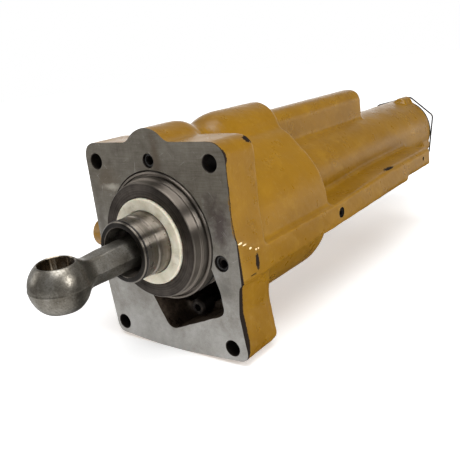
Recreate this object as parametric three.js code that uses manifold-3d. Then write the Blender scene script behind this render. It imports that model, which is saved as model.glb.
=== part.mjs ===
// A flange-mounted hydraulic cylinder with a hollow ram and a swinging eye rod.
// Millimetres, +Z up. The cylinder's axis is Y: the flange face is the plane Y = 0,
// the ram comes out towards -Y and the barrel runs back along +Y.

import * as THREE from 'three';
import { mergeVertices } from 'three/addons/utils/BufferGeometryUtils.js';
import Module from 'manifold-3d';

const wasm = await Module();
wasm.setup();

// ---------- driving dimensions ----------

const GAP = 0.3;
const FINE = 32;
const COARSE = 24;
const SMALL = 14;
const CAST = 40;

const FLANGE = { depth: 38, lowDepth: 44, lowTop: -33.5 };
const BOLT = { radius: 6.75, x: 62.5, zTop: 61.8, zLow: -88.3 };
const BORE = { radius: 54.9, depth: 30.3 };
const CHAMBER = { radius: 50, end: 140 };
const MAIN = { radius: 73.5, z: -9.5, end: 149.8, round: 4 };
const LOBE = { radius: 32.7, x: 15, z: 34, end: 149.8, round: 4 };
const TOP = { radius: 26.2, z: 63, end: 155 };
const BARREL = { radius: 44, bore: 35, webFront: 397, webRear: 408, end: 510 };
const REAR_ROOM = 36;
const RIB = { halfWidth: 15.6, end: 355, round: 8 };
const RAIL = {
  x: 79, bottom: -32.6, step: 339, rearBottom: -28, end: 414, rootTop: 2.2, rootEnd: 25,
  top: -11, riseStart: 170, riseEnd: 290, rearTop: -5.4,
};
const PORT_BOSS = { radius: 13.5, y: 22.5, z: -11, x: -97 };
const TOP_PORT = { z: 63, drill: 3.5, face: 5.75, faceDepth: 3.4 };
const SIDE_PORT = { x: 62, z: -16.3, drill: 3.2, face: 6.5, faceDepth: 3.4 };
const POCKET = { depth: 31, deepEnd: 90, wallRadius: 62 };
const POCKET_PLUG = { x: 15, z: -68.5, radius: 7.6, head: 17, tail: 44 };
const CROSS_FRONT = { y: 167, z: -21.5, radius: 5.25, depth: 12 };
const CROSS_REAR = { y: 387, z: -14.8, radius: 2.5, depth: 9 };
const PLUG_LENGTH = 10;
const PLUG_RADIUS = 5.2;

const FEED = { y: 172, radius: 3, bottom: 20 };
const GALLERY_DROP = { drilling: 1, plug: 2.4 };
const CROSS_FEED = { radius: 2.4, depth: 21, rearDepth: 59 };
const PORT_HOLE = { radius: 7.2, end: -52, plugLength: 16, plugSocket: 4 };
const PLUG_SOCKET = { gallery: 2.6, front: 2.9, rear: 1.1 };
const POCKET_STUD = { bore: 5.3, radius: 5, socket: 3.6 };
const PORT_SEAL = { top: 4.6, topSection: 0.8, side: 5.3, sideSection: 0.9, depth: 2.3 };

const GLAND = {
  rim: 54.3, rimFront: -1.2, front: -13.2, nose: 48.4, noseEnd: -5,
  headEnd: 30, spigot: 34.6, end: 160, clear: 27.5,
};
// The step behind the gland's nose: a neck and a face groove under the rim's edge.
const GLAND_STEP = { neck: 50.2, lip: 52.4, depth: 2.4 };
const GLAND_GROOVE = { floor: 50.6, sealFront: 8, sealBack: 13, oilFront: 16, oilBack: 26 };
const GLAND_SEAL = { radius: 52.8, section: 1.8, y: 10.5 };
const SPIGOT_GROOVE = { floor: 31.8, front: 147, back: 150.6 };
const SPIGOT_SEAL = { radius: 33.4, section: 1.3, y: 148.8 };
const WIPER = { inner: 26.3, outer: 36, front: -15.5, back: -9 };
const ROD_SEAL = { outer: 32.7, front: 20, back: 27 };
const BUSH = { outer: 28.3, front: 110.3, back: 159.7 };
const RAM = {
  radius: 26, nose: 24.9, mouth: -42.3, bore: 20.2, socketEnd: 60, shoulder: 320, tail: 20, end: 393.5,
};
const CLIP_GROOVE = { floor: 23.4, front: -40.2, back: -38.2 };
const CLIP = { radius: 24.6, section: 0.8, y: -39.2 };
const NOSE_GROOVE = { floor: 23.6, front: -28.2, back: -26 };
const RAM_TAIL_BORE = { radius: 14, front: 90 };
const STOP = { outer: 30.5, end: 353.7 };
const PISTON = { radius: 34.4, front: 354, back: 378, ringFloor: 32.5, sealFloor: 29.6, boreFloor: 22.9 };
const PISTON_GROOVE = {
  frontRing: [356.2, 360.8], seal: [363, 369], rearRing: [371.2, 375.8], bore: [364.2, 367.6],
};
const PISTON_RING = { inner: 32.8, outer: 34.7 };
const PISTON_SEAL = { radius: 21.6, section: 1.05, y: 365.9 };
const NUT = { outer: 29, back: 392 };
const BALL = { radius: 16.2, socket: 16.8, y: 35 };
const SEAT = {
  outer: 19.9, rearFront: 37, rearBack: 59.7, frontFront: 22, frontBack: 33, oilHole: 5, mouth: 14.2,
};
const SEAT_NUT = { front: 10, back: 21.7, inner: 15 };
const ROD = { radius: 12.2, neck: 9.5, reach: 137, droop: 1.3, roll: 4, eye: 22, eyeHalf: 17, eyeBore: 12.7 };
const ROD_SHANK = { waist: 100, full: 80, taper: 46, neckStart: 30 };
const COVER = { flange: 44, spigot: 35.6, end: 516, spigotFront: 494, recess: 28 };
const COVER_GROOVE = { floor: 33, front: 500, back: 504 };
const COVER_SEAL = { radius: 34.5, section: 1.2, y: 502 };
const WIRE_GROOVE = { floor: 42.2, front: 511.8, back: 514.6 };
// Corners of the bent wire as [distance from the axis, angle in degrees from +X towards +Z].
const WIRE_CORNERS = [[51.8, 23.2], [50, 71.3], [50.5, 131.9], [50.5, 193.5], [50.5, 255.4], [52.9, 321.4]];
const WIRE = { radius: 1, y: 513.2, corner: 3 };
// Lugs that the wire's corners pass, as [x, z].
const LUGS = [[10.5, 40], [34.5, -20]];
const LUG = { radius: 9, length: 24 };

// ---------- materials ----------

function finish(color, roughness, metalness) {
  return new THREE.MeshStandardMaterial({ color, roughness, metalness });
}

const OCHRE = finish(0x9c7420, 0.5, 0.0);
const DARK_STEEL = finish(0x3c3836, 0.35, 0.9);
const BRIGHT_STEEL = finish(0x9a9894, 0.22, 1.0);
const FORGED = finish(0x77746e, 0.45, 0.9);
const BRONZE = finish(0xa07a3c, 0.35, 0.9);
const NYLON = finish(0xd7d0be, 0.55, 0.0);
const RUBBER = finish(0x1b1a1a, 0.7, 0.0);
const BLACK_WIRE = finish(0x3a3836, 0.4, 0.8);

// ---------- solid helpers ----------

function toSolid(geometry) {
  const bare = geometry.clone();
  bare.deleteAttribute('normal');
  bare.deleteAttribute('uv');
  const merged = mergeVertices(bare, 1e-4);
  const corners = merged.index.array;
  const kept = [];
  for (let i = 0; i < corners.length; i += 3) {
    const [a, b, c] = [corners[i], corners[i + 1], corners[i + 2]];
    if (a !== b && b !== c && c !== a) {
      kept.push(a, b, c);
    }
  }
  const vertProperties = merged.attributes.position.array;
  return new wasm.Manifold(new wasm.Mesh({ numProp: 3, vertProperties, triVerts: Uint32Array.from(kept) }));
}

function toGeometry(solid) {
  const mesh = solid.getMesh();
  const geometry = new THREE.BufferGeometry();
  geometry.setAttribute('position', new THREE.BufferAttribute(mesh.vertProperties, 3));
  geometry.setIndex(new THREE.BufferAttribute(mesh.triVerts, 1));
  geometry.computeVertexNormals();
  return geometry;
}

function join(first, ...others) {
  return others.reduce((whole, piece) => whole.add(toSolid(piece)), toSolid(first));
}

function cut(solid, ...tools) {
  return tools.reduce((whole, tool) => whole.subtract(toSolid(tool)), solid);
}

// A profile of [radius, y] points turned about the Y axis, listed with the solid on the left.
function turned(profile, segments = FINE) {
  const points = profile.map(([radius, y]) => new THREE.Vector2(radius, y));
  return new THREE.LatheGeometry(points, segments);
}

function rod(radius, y0, y1, segments = COARSE) {
  return turned([[0, y0], [radius, y0], [radius, y1], [0, y1]], segments);
}

function ring(inner, outer, y0, y1, segments = FINE) {
  return turned([[inner, y0], [outer, y0], [outer, y1], [inner, y1], [inner, y0]], segments);
}

function torus(centreRadius, sectionRadius, y, segments = FINE) {
  const profile = [];
  const sides = 6;
  for (let i = 0; i <= sides; i += 1) {
    const angle = (2 * Math.PI * i) / sides;
    profile.push([centreRadius + sectionRadius * Math.cos(angle), y + sectionRadius * Math.sin(angle)]);
  }
  profile[sides] = profile[0];
  return turned(profile, segments);
}

// The same turned shapes lying along +X or +Z instead of +Y.
function alongX(geometry) {
  return geometry.rotateZ(-Math.PI / 2);
}

function alongZ(geometry) {
  return geometry.rotateX(Math.PI / 2);
}

// A closed outline with rounded corners: each point is [across, up, cornerRadius].
function roundedOutline(points) {
  const shape = new THREE.Shape();
  const count = points.length;
  points.forEach(([x, y, radius], i) => {
    const corner = new THREE.Vector2(x, y);
    const before = new THREE.Vector2(...points[(i + count - 1) % count].slice(0, 2)).sub(corner);
    const after = new THREE.Vector2(...points[(i + 1) % count].slice(0, 2)).sub(corner);
    const half = Math.abs(before.angleTo(after)) / 2;
    const reach = Math.min(radius / Math.tan(half), before.length() * 0.49, after.length() * 0.49);
    const start = before.setLength(reach).add(corner);
    const end = after.setLength(reach).add(corner);
    if (i === 0) {
      shape.moveTo(start.x, start.y);
    } else {
      shape.lineTo(start.x, start.y);
    }
    if (radius > 0) {
      shape.quadraticCurveTo(corner.x, corner.y, end.x, end.y);
    }
  });
  shape.closePath();
  return shape;
}

// A shape drawn in X and Z, extruded along Y from y0 to y1.
function extrudedY(shape, y0, y1, curveSegments = 6) {
  const geometry = new THREE.ExtrudeGeometry(shape, { depth: y1 - y0, bevelEnabled: false, curveSegments });
  return geometry.rotateX(Math.PI / 2).translate(0, y1, 0);
}

// A shape drawn in Y and Z, extruded along X from x0 to x1.
function extrudedX(shape, x0, x1, curveSegments = 6) {
  const geometry = new THREE.ExtrudeGeometry(shape, { depth: x1 - x0, bevelEnabled: false, curveSegments });
  const turn = new THREE.Matrix4();
  turn.makeBasis(new THREE.Vector3(0, 1, 0), new THREE.Vector3(0, 0, 1), new THREE.Vector3(1, 0, 0));
  return geometry.applyMatrix4(turn).translate(x0, 0, 0);
}

function box(x0, x1, y0, y1, z0, z1) {
  const geometry = new THREE.BoxGeometry(x1 - x0, y1 - y0, z1 - z0);
  return geometry.translate((x0 + x1) / 2, (y0 + y1) / 2, (z0 + z1) / 2);
}

// ---------- the casting ----------

function flangeOutline() {
  return roundedOutline([
    [-75.4, 78, 15],
    [-75.4, -49, 40],
    [-71.6, -98.6, 9],
    [-8, -103.6, 400],
    [77.9, -98, 9],
    [73, -58, 25],
    [79, -14, 30],
    [76.8, 24, 40],
    [78.2, 78, 17],
  ]);
}

function flangeBlock() {
  const shallow = toSolid(extrudedY(flangeOutline(), 0, FLANGE.depth));
  const deep = toSolid(extrudedY(flangeOutline(), 0, FLANGE.lowDepth));
  const lowHalf = toSolid(box(-120, 120, -10, 80, -140, FLANGE.lowTop));
  return shallow.add(deep.intersect(lowHalf));
}

// A front bump, a dip behind the flange and a long rear hump, round about one line.
function topBoss() {
  const r = TOP.radius;
  return turned([
    [0, 0], [r, 0], [r, 36], [r - 1.2, 43], [r - 4.5, 50], [r - 8, 57], [r - 7, 62], [r - 4, 69],
    [r - 1.2, 78], [r, 90], [r, TOP.end - 4], [r - 1.2, TOP.end - 1.2], [r - 4, TOP.end], [0, TOP.end],
  ], COARSE).translate(0, 0, TOP.z);
}

function roundedDrum(radius, start, end, round, segments) {
  const profile = [[0, start], [radius, start]];
  const steps = 3;
  for (let i = 0; i <= steps; i += 1) {
    const angle = (Math.PI / 2) * (i / steps);
    profile.push([radius - round * (1 - Math.cos(angle)), end + round * Math.sin(angle)]);
  }
  profile.push([0, end + round]);
  return turned(profile, segments);
}

function rib() {
  const top = new THREE.Shape();
  top.moveTo(-RIB.halfWidth, 30);
  top.lineTo(RIB.halfWidth, 30);
  top.absarc(0, TOP.z, RIB.halfWidth, 0, Math.PI, false);
  top.closePath();
  const side = roundedOutline([
    [100, 20, 0], [RIB.end, 20, 0], [RIB.end, TOP.z + RIB.halfWidth, RIB.round],
    [100, TOP.z + RIB.halfWidth, 0],
  ]);
  return toSolid(extrudedY(top, 120, RIB.end, 10)).intersect(toSolid(extrudedX(side, -20, 20)));
}

function rail() {
  const side = roundedOutline([
    [0, RAIL.bottom, 0], [RAIL.step, RAIL.bottom, 0], [RAIL.step + 2, RAIL.rearBottom, 0],
    [RAIL.end, RAIL.rearBottom, 0], [RAIL.end, RAIL.rearTop, 0], [RAIL.riseEnd, RAIL.rearTop, 0],
    [RAIL.riseStart, RAIL.top, 0], [RAIL.rootEnd, RAIL.top, 0], [0, RAIL.rootTop, 0],
  ]);
  return extrudedX(side, 20, RAIL.x);
}

function pocketOutline() {
  return roundedOutline([
    [-14, -40, 0], [-19.5, -54, 0], [-3.5, -85, 10], [58.6, -60.5, 8],
    [57.6, -42, 20], [49, -16, 0], [20, -20, 0],
  ]);
}

function pocket() {
  const shallow = toSolid(extrudedY(pocketOutline(), -1, POCKET.depth));
  const reach = toSolid(rod(POCKET.wallRadius, 0, POCKET.deepEnd, FINE).translate(0, 0, MAIN.z));
  return shallow.add(toSolid(extrudedY(pocketOutline(), 0, POCKET.deepEnd)).intersect(reach));
}

function housing() {
  const drum = roundedDrum(MAIN.radius, 20, MAIN.end, MAIN.round, CAST).translate(0, 0, MAIN.z);
  const lobe = roundedDrum(LOBE.radius, 20, LOBE.end, LOBE.round, COARSE).translate(LOBE.x, 0, LOBE.z);
  const barrel = turned([[0, 100], [45, 100], [45, 170], [BARREL.radius, BARREL.end], [0, BARREL.end]], CAST);
  const lugs = LUGS.map(([x, z]) => {
    return rod(LUG.radius, BARREL.end - LUG.length, BARREL.end, SMALL).translate(x, 0, z);
  });
  const portBoss = alongX(rod(PORT_BOSS.radius, PORT_BOSS.x, PORT_HOLE.end, COARSE))
    .translate(0, PORT_BOSS.y, PORT_BOSS.z);
  let solid = flangeBlock().add(join(topBoss(), drum, lobe, barrel, ...lugs, portBoss, rail())).add(rib());

  const bore = turned([
    [0, -5], [BORE.radius, -5], [BORE.radius, BORE.depth], [CHAMBER.radius, BORE.depth],
    [CHAMBER.radius, CHAMBER.end - 12], [BARREL.bore + 2, CHAMBER.end], [BARREL.bore, CHAMBER.end + 4],
    [BARREL.bore, BARREL.webFront], [0, BARREL.webFront],
  ], CAST);
  const rearRoom = rod(REAR_ROOM, BARREL.webRear, BARREL.end + 5, FINE);
  solid = cut(solid, bore, rearRoom).subtract(pocket());

  for (const x of [-BOLT.x, BOLT.x]) {
    for (const z of [BOLT.zTop, BOLT.zLow]) {
      solid = cut(solid, rod(BOLT.radius, -5, 60, SMALL).translate(x, 0, z));
    }
  }
  solid = cut(solid, ...topGallery(), ...sideGallery(), ...crossDrillings());
  const portHole = alongX(rod(PORT_HOLE.radius, PORT_BOSS.x - 5, PORT_HOLE.end, SMALL))
    .translate(0, PORT_BOSS.y, PORT_BOSS.z);
  const plugHole = rod(POCKET_STUD.bore, POCKET.depth - 5, POCKET_PLUG.tail - 1, SMALL);
  return cut(solid, portHole, plugHole.translate(POCKET_PLUG.x, 0, POCKET_PLUG.z));
}

// Port in the flange face, a long drilling through the rib and a feed into the barrel's front end.
function topGallery() {
  const face = rod(TOP_PORT.face, -5, TOP_PORT.faceDepth, SMALL).translate(0, 0, TOP_PORT.z);
  const drilling = rod(TOP_PORT.drill, 0, RIB.end - 5, SMALL).translate(0, 0, TOP_PORT.z);
  const plugSeat = rod(PLUG_RADIUS, RIB.end - PLUG_LENGTH - 1, RIB.end + 5, SMALL).translate(0, 0, TOP_PORT.z);
  const feed = alongZ(rod(FEED.radius, FEED.bottom, TOP_PORT.z, SMALL)).translate(0, FEED.y, 0);
  return [face, drilling, plugSeat, feed];
}

// Port in the flange face and a long drilling through the rail to its rear end.
function sideGallery() {
  const { x, z } = SIDE_PORT;
  const face = rod(SIDE_PORT.face, -5, SIDE_PORT.faceDepth, SMALL).translate(x, 0, z);
  const drilling = rod(SIDE_PORT.drill, 0, RAIL.end - 5, SMALL).translate(x, 0, z - GALLERY_DROP.drilling);
  const plugSeat = rod(PLUG_RADIUS, RAIL.end - PLUG_LENGTH - 1, RAIL.end + 5, SMALL)
    .translate(x, 0, z - GALLERY_DROP.plug);
  return [face, drilling, plugSeat];
}

// The test port and the rear feed, both drilled in from the rail's side.
function crossDrillings() {
  const front = alongX(rod(CROSS_FRONT.radius, RAIL.x - CROSS_FRONT.depth, RAIL.x + 5, SMALL));
  const frontFeed = alongX(rod(CROSS_FEED.radius, RAIL.x - CROSS_FEED.depth, RAIL.x, 16));
  const rear = alongX(rod(CROSS_REAR.radius, RAIL.x - CROSS_FEED.rearDepth, RAIL.x + 5, 16));
  return [
    front.translate(0, CROSS_FRONT.y, CROSS_FRONT.z),
    frontFeed.translate(0, CROSS_FRONT.y, CROSS_FRONT.z),
    rear.translate(0, CROSS_REAR.y, CROSS_REAR.z),
  ];
}

// ---------- the gland and its seals ----------

function gland() {
  const { rim, rimFront, front, nose, noseEnd, headEnd, spigot, end, clear } = GLAND;
  const { neck, lip, depth } = GLAND_STEP;
  const { floor, sealFront, sealBack, oilFront, oilBack } = GLAND_GROOVE;
  const seal = SPIGOT_GROOVE;
  return turned([
    [WIPER.outer + GAP, front], [nose - 1, front], [nose, front + 1], [nose, noseEnd], [neck, noseEnd],
    [neck, depth], [lip, depth], [lip, rimFront], [rim - 0.6, rimFront], [rim, rimFront + 0.6],
    [rim, sealFront], [floor, sealFront], [floor, sealBack], [rim, sealBack],
    [rim, oilFront], [floor, oilFront], [floor, oilBack], [rim, oilBack],
    [rim, headEnd], [spigot, headEnd], [spigot, seal.front], [seal.floor, seal.front],
    [seal.floor, seal.back], [spigot, seal.back], [spigot, end - 1], [spigot - 1, end],
    [BUSH.outer + GAP, end], [BUSH.outer + GAP, BUSH.front - GAP], [clear, BUSH.front - GAP],
    [clear, ROD_SEAL.back + GAP], [ROD_SEAL.outer + GAP, ROD_SEAL.back + GAP],
    [ROD_SEAL.outer + GAP, ROD_SEAL.front - GAP], [clear, ROD_SEAL.front - GAP],
    [clear, WIPER.back + GAP], [WIPER.outer + GAP, WIPER.back + GAP], [WIPER.outer + GAP, front],
  ], FINE);
}

function wiperRing() {
  const { inner, outer, front, back } = WIPER;
  return turned([
    [inner, front + 0.6], [inner + 0.6, front], [outer - 0.8, front], [outer, front + 0.8],
    [outer, back], [inner, back], [inner, front + 0.6],
  ]);
}

function rodSeal() {
  const { outer, front, back } = ROD_SEAL;
  const inner = RAM.radius + GAP;
  return turned([
    [inner, front], [outer, front], [outer, back], [outer - 1.6, back], [(inner + outer) / 2, back - 3],
    [inner + 1.6, back], [inner, back], [inner, front],
  ]);
}

// ---------- the ram and the piston ----------

// The ram's outline starts on the axis at the socket's floor and ends on it in the tail bore.
function ramProfile() {
  const { radius, nose, mouth, bore, socketEnd, shoulder, tail, end } = RAM;
  return [
    [0, socketEnd], [bore, socketEnd], [bore, mouth + 0.8], [bore + 0.8, mouth], [nose - 1.4, mouth],
    [nose, mouth + 1.2], [nose, CLIP_GROOVE.front], [CLIP_GROOVE.floor, CLIP_GROOVE.front],
    [CLIP_GROOVE.floor, CLIP_GROOVE.back], [nose, CLIP_GROOVE.back], [nose, NOSE_GROOVE.front],
    [NOSE_GROOVE.floor, NOSE_GROOVE.front], [NOSE_GROOVE.floor, NOSE_GROOVE.back],
    [radius - 0.5, NOSE_GROOVE.back], [radius, NOSE_GROOVE.back + 0.5], [radius, shoulder], [tail, shoulder],
    [tail, end - 1], [tail - 1, end], [RAM_TAIL_BORE.radius, end],
    [RAM_TAIL_BORE.radius, RAM_TAIL_BORE.front + 6], [0, RAM_TAIL_BORE.front],
  ];
}

function piston() {
  const { radius, front, back, ringFloor, sealFloor, boreFloor } = PISTON;
  const inner = RAM.tail + GAP;
  const groove = (edge, floor, [start, end]) => [[edge, start], [floor, start], [floor, end], [edge, end]];
  return turned([
    [inner, front], [radius - 1, front], [radius, front + 1],
    ...groove(radius, ringFloor, PISTON_GROOVE.frontRing),
    ...groove(radius, sealFloor, PISTON_GROOVE.seal),
    ...groove(radius, ringFloor, PISTON_GROOVE.rearRing),
    [radius, back - 1], [radius - 1, back], [inner, back],
    ...groove(inner, boreFloor, PISTON_GROOVE.bore).reverse(),
    [inner, front],
  ]);
}

function pistonNut() {
  const outline = new THREE.Shape();
  const flats = 8;
  for (let i = 0; i < flats; i += 1) {
    const angle = (2 * Math.PI * (i + 0.5)) / flats;
    const point = [NUT.outer * Math.cos(angle), NUT.outer * Math.sin(angle)];
    if (i === 0) {
      outline.moveTo(...point);
    } else {
      outline.lineTo(...point);
    }
  }
  outline.closePath();
  const blank = toSolid(extrudedY(outline, PISTON.back + GAP, NUT.back));
  return toGeometry(cut(blank, rod(RAM.tail + GAP, PISTON.back - 5, NUT.back + 5, FINE)));
}

// ---------- the connecting rod and its ball seats ----------

// Points on the socket sphere between two distances from the ball's centre.
function socketArc(from, to) {
  const points = [];
  const steps = 5;
  for (let i = 0; i <= steps; i += 1) {
    const offset = from + ((to - from) * i) / steps;
    points.push([Math.sqrt(BALL.socket ** 2 - offset ** 2), BALL.y + offset]);
  }
  return points;
}

function rearSeat() {
  const { outer, rearFront, rearBack, oilHole } = SEAT;
  const depth = Math.sqrt(BALL.socket ** 2 - oilHole ** 2);
  return turned([
    ...socketArc(depth, rearFront - BALL.y), [outer, rearFront], [outer, rearBack], [oilHole, rearBack],
    [oilHole, BALL.y + depth],
  ]);
}

function frontSeat() {
  const { outer, frontFront, frontBack, mouth } = SEAT;
  const depth = Math.sqrt(BALL.socket ** 2 - mouth ** 2);
  return turned([
    [mouth, frontFront], [outer, frontFront], [outer, frontBack], ...socketArc(frontBack - BALL.y, -depth),
    [mouth, frontFront],
  ]);
}

function connectingRod() {
  const { radius, neck, reach, eye, eyeHalf, eyeBore } = ROD;
  const ballStart = Math.sqrt(BALL.radius ** 2 - neck ** 2);
  const { waist, full, taper, neckStart } = ROD_SHANK;
  const profile = [
    [0, -reach], [radius - 1.4, -reach], [radius - 1, -waist], [radius, -full], [radius, -taper],
    [neck, -neckStart],
  ];
  const steps = 8;
  const firstAngle = Math.acos(-ballStart / BALL.radius);
  for (let i = 0; i <= steps; i += 1) {
    const angle = firstAngle * (1 - i / steps);
    const x = i === steps ? 0 : BALL.radius * Math.sin(angle);
    profile.push([x, BALL.radius * Math.cos(angle)]);
  }
  const shaft = turned(profile, COARSE);
  const eyeBall = new THREE.SphereGeometry(eye, 28, 16).rotateX(Math.PI / 2).translate(0, -reach, 0);
  const slab = toSolid(box(-60, 60, -reach - 60, 60, -eyeHalf, eyeHalf));
  const whole = join(eyeBall, shaft).intersect(slab);
  const hole = alongZ(rod(eyeBore, -40, 40, 28)).translate(0, -reach, 0);
  return toGeometry(cut(whole, hole));
}

// ---------- rear end ----------

function rearCover() {
  const { flange, spigot, end, spigotFront, recess } = COVER;
  const front = BARREL.end + GAP;
  const seal = COVER_GROOVE;
  const wire = WIRE_GROOVE;
  return turned([
    [0, spigotFront + 8], [recess, spigotFront + 8], [recess + 2, spigotFront], [spigot - 0.6, spigotFront],
    [spigot, spigotFront + 0.6], [spigot, seal.front], [seal.floor, seal.front], [seal.floor, seal.back],
    [spigot, seal.back], [spigot, front], [flange - 0.6, front], [flange - 0.6, wire.front],
    [wire.floor, wire.front], [wire.floor, wire.back], [flange - 0.6, wire.back], [flange - 1, end], [0, end],
  ]);
}

function coverWire() {
  const flats = WIRE_CORNERS.length;
  const points = WIRE_CORNERS.map(([reach, degrees]) => {
    const angle = THREE.MathUtils.degToRad(degrees);
    return new THREE.Vector3(reach * Math.cos(angle), WIRE.y, reach * Math.sin(angle));
  });
  const route = new THREE.CurvePath();
  points.forEach((point, i) => {
    const before = points[(i + flats - 1) % flats];
    const after = points[(i + 1) % flats];
    const turnIn = before.clone().sub(point).setLength(WIRE.corner).add(point);
    const turnOut = after.clone().sub(point).setLength(WIRE.corner).add(point);
    const nextIn = point.clone().sub(after).setLength(WIRE.corner).add(after);
    route.add(new THREE.QuadraticBezierCurve3(turnIn, point, turnOut));
    route.add(new THREE.LineCurve3(turnOut, nextIn));
  });
  const section = new THREE.Shape().absarc(0, 0, WIRE.radius, 0, 2 * Math.PI, false);
  return loopTube(route, section);
}

// A tube that closes on itself, made by joining two open runs that overlap at both ends.
function loopTube(route, section) {
  const samples = route.getSpacedPoints(48);
  samples.pop();
  const half = 24;
  const runs = [0, half].map((start) => {
    const points = [];
    for (let i = 0; i <= half + 1; i += 1) {
      points.push(samples[(start + i) % samples.length]);
    }
    return new THREE.ExtrudeGeometry(section, {
      steps: half + 1,
      curveSegments: 3,
      bevelEnabled: false,
      extrudePath: new THREE.CatmullRomCurve3(points, false, 'centripetal'),
    });
  });
  return toGeometry(join(...runs));
}

// ---------- small plugs ----------

// A screwed plug with a hexagon socket in its outer end, lying along +Y with that end at y = 0.
function socketPlug(radius, length, socket) {
  const profile = [[0, 0], [radius - 0.5, 0], [radius, 0.5], [radius, length], [0, length]];
  const body = toSolid(turned(profile, SMALL));
  const key = rod(socket, -2, Math.min(4, length / 2), 6);
  return cut(body, key);
}

function rearFacing(solid) {
  return toGeometry(solid).rotateX(Math.PI);
}

function rightFacing(solid) {
  return toGeometry(solid).rotateZ(Math.PI / 2);
}

function leftFacing(solid) {
  return toGeometry(solid).rotateZ(-Math.PI / 2);
}

function pocketPlug() {
  const { x, z, radius, head, tail } = POCKET_PLUG;
  const headEnd = POCKET.depth - GAP;
  const body = toSolid(turned([
    [0, head], [radius - 1.2, head], [radius, head + 1.2], [radius, headEnd],
    [POCKET_STUD.radius, headEnd], [POCKET_STUD.radius, tail - 2], [0, tail - 2],
  ], SMALL));
  return toGeometry(cut(body, rod(POCKET_STUD.socket, head - 2, head + 5, 6))).translate(x, 0, z);
}

// ---------- assembly ----------

const group = new THREE.Group();

function addPiece(name, geometry, material, parent = group) {
  const mesh = new THREE.Mesh(geometry, material);
  mesh.name = name;
  parent.add(mesh);
  return mesh;
}

addPiece('housing', toGeometry(housing()), OCHRE);
addPiece('gland', gland(), DARK_STEEL);
addPiece('wiper_ring', wiperRing(), NYLON);
addPiece('rod_seal', rodSeal(), RUBBER);
addPiece('gland_bush', ring(RAM.radius + GAP, BUSH.outer, BUSH.front, BUSH.back), BRONZE);
addPiece('gland_o_ring', torus(GLAND_SEAL.radius, GLAND_SEAL.section, GLAND_SEAL.y), RUBBER);
addPiece('spigot_o_ring', torus(SPIGOT_SEAL.radius, SPIGOT_SEAL.section, SPIGOT_SEAL.y), RUBBER);

addPiece('ram', turned(ramProfile()), BRIGHT_STEEL);
addPiece('ram_clip', torus(CLIP.radius, CLIP.section, CLIP.y), BLACK_WIRE);
addPiece('stop_collar', ring(RAM.tail + GAP, STOP.outer, RAM.shoulder + GAP, STOP.end), DARK_STEEL);
addPiece('piston', piston(), DARK_STEEL);

// A ring that fills a groove of the piston but for a small gap at each side.
function grooveRing(inner, [start, end]) {
  return ring(inner, PISTON_RING.outer, start + GAP, end - GAP);
}

addPiece('piston_seal', grooveRing(PISTON.sealFloor + GAP, PISTON_GROOVE.seal), RUBBER);
addPiece('piston_wear_ring_front', grooveRing(PISTON_RING.inner, PISTON_GROOVE.frontRing), NYLON);
addPiece('piston_wear_ring_rear', grooveRing(PISTON_RING.inner, PISTON_GROOVE.rearRing), NYLON);
addPiece('piston_o_ring', torus(PISTON_SEAL.radius, PISTON_SEAL.section, PISTON_SEAL.y), RUBBER);
addPiece('piston_nut', pistonNut(), FORGED);

addPiece('ball_seat_rear', rearSeat(), BRONZE);
addPiece('ball_seat_front', frontSeat(), BRONZE);
addPiece('seat_nut', ring(SEAT_NUT.inner, SEAT.outer, SEAT_NUT.front, SEAT_NUT.back), DARK_STEEL);
const rodPivot = new THREE.Group();
rodPivot.position.set(0, BALL.y, 0);
rodPivot.rotation.set(THREE.MathUtils.degToRad(ROD.droop), THREE.MathUtils.degToRad(ROD.roll), 0);
group.add(rodPivot);
addPiece('connecting_rod', connectingRod(), FORGED, rodPivot);

addPiece('rear_cover', rearCover(), DARK_STEEL);
addPiece('rear_cover_o_ring', torus(COVER_SEAL.radius, COVER_SEAL.section, COVER_SEAL.y), RUBBER);
addPiece('cover_wire', coverWire(), BLACK_WIRE);

const topPortSeal = torus(PORT_SEAL.top, PORT_SEAL.topSection, PORT_SEAL.depth, SMALL);
addPiece('top_port_seal', topPortSeal, RUBBER).position.set(0, 0, TOP_PORT.z);
const sidePortSeal = torus(PORT_SEAL.side, PORT_SEAL.sideSection, PORT_SEAL.depth, SMALL);
addPiece('side_port_seal', sidePortSeal, RUBBER).position.set(SIDE_PORT.x, 0, SIDE_PORT.z);
addPiece('pocket_plug', pocketPlug(), DARK_STEEL);

const galleryPlug = () => rearFacing(socketPlug(PLUG_RADIUS - GAP, PLUG_LENGTH, PLUG_SOCKET.gallery));
addPiece('top_gallery_plug', galleryPlug(), DARK_STEEL).position.set(0, RIB.end - 0.5, TOP_PORT.z);
addPiece('side_gallery_plug', galleryPlug(), DARK_STEEL)
  .position.set(SIDE_PORT.x, RAIL.end - 0.5, SIDE_PORT.z - GALLERY_DROP.plug);

const frontPlug = rightFacing(socketPlug(CROSS_FRONT.radius - GAP, CROSS_FRONT.depth - 1.5, PLUG_SOCKET.front));
addPiece('rail_plug_front', frontPlug, DARK_STEEL).position.set(RAIL.x - 1, CROSS_FRONT.y, CROSS_FRONT.z);
const rearPlug = rightFacing(socketPlug(CROSS_REAR.radius - GAP, CROSS_REAR.depth, PLUG_SOCKET.rear));
addPiece('rail_plug_rear', rearPlug, DARK_STEEL).position.set(RAIL.x - 0.8, CROSS_REAR.y, CROSS_REAR.z);
const portPlug = leftFacing(socketPlug(PORT_HOLE.radius - GAP, PORT_HOLE.plugLength, PORT_HOLE.plugSocket));
addPiece('port_plug', portPlug, DARK_STEEL).position.set(PORT_BOSS.x + 1, PORT_BOSS.y, PORT_BOSS.z);

export default group;
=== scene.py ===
"""The visual model of a flange-mounted hydraulic cylinder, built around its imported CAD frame.

Shapes are worked out in millimetres in the CAD frame (the flange face is the plane y = 0, the ram
comes out along -Y, +Z is up) and written to the meshes in metres.
"""

import math

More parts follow.
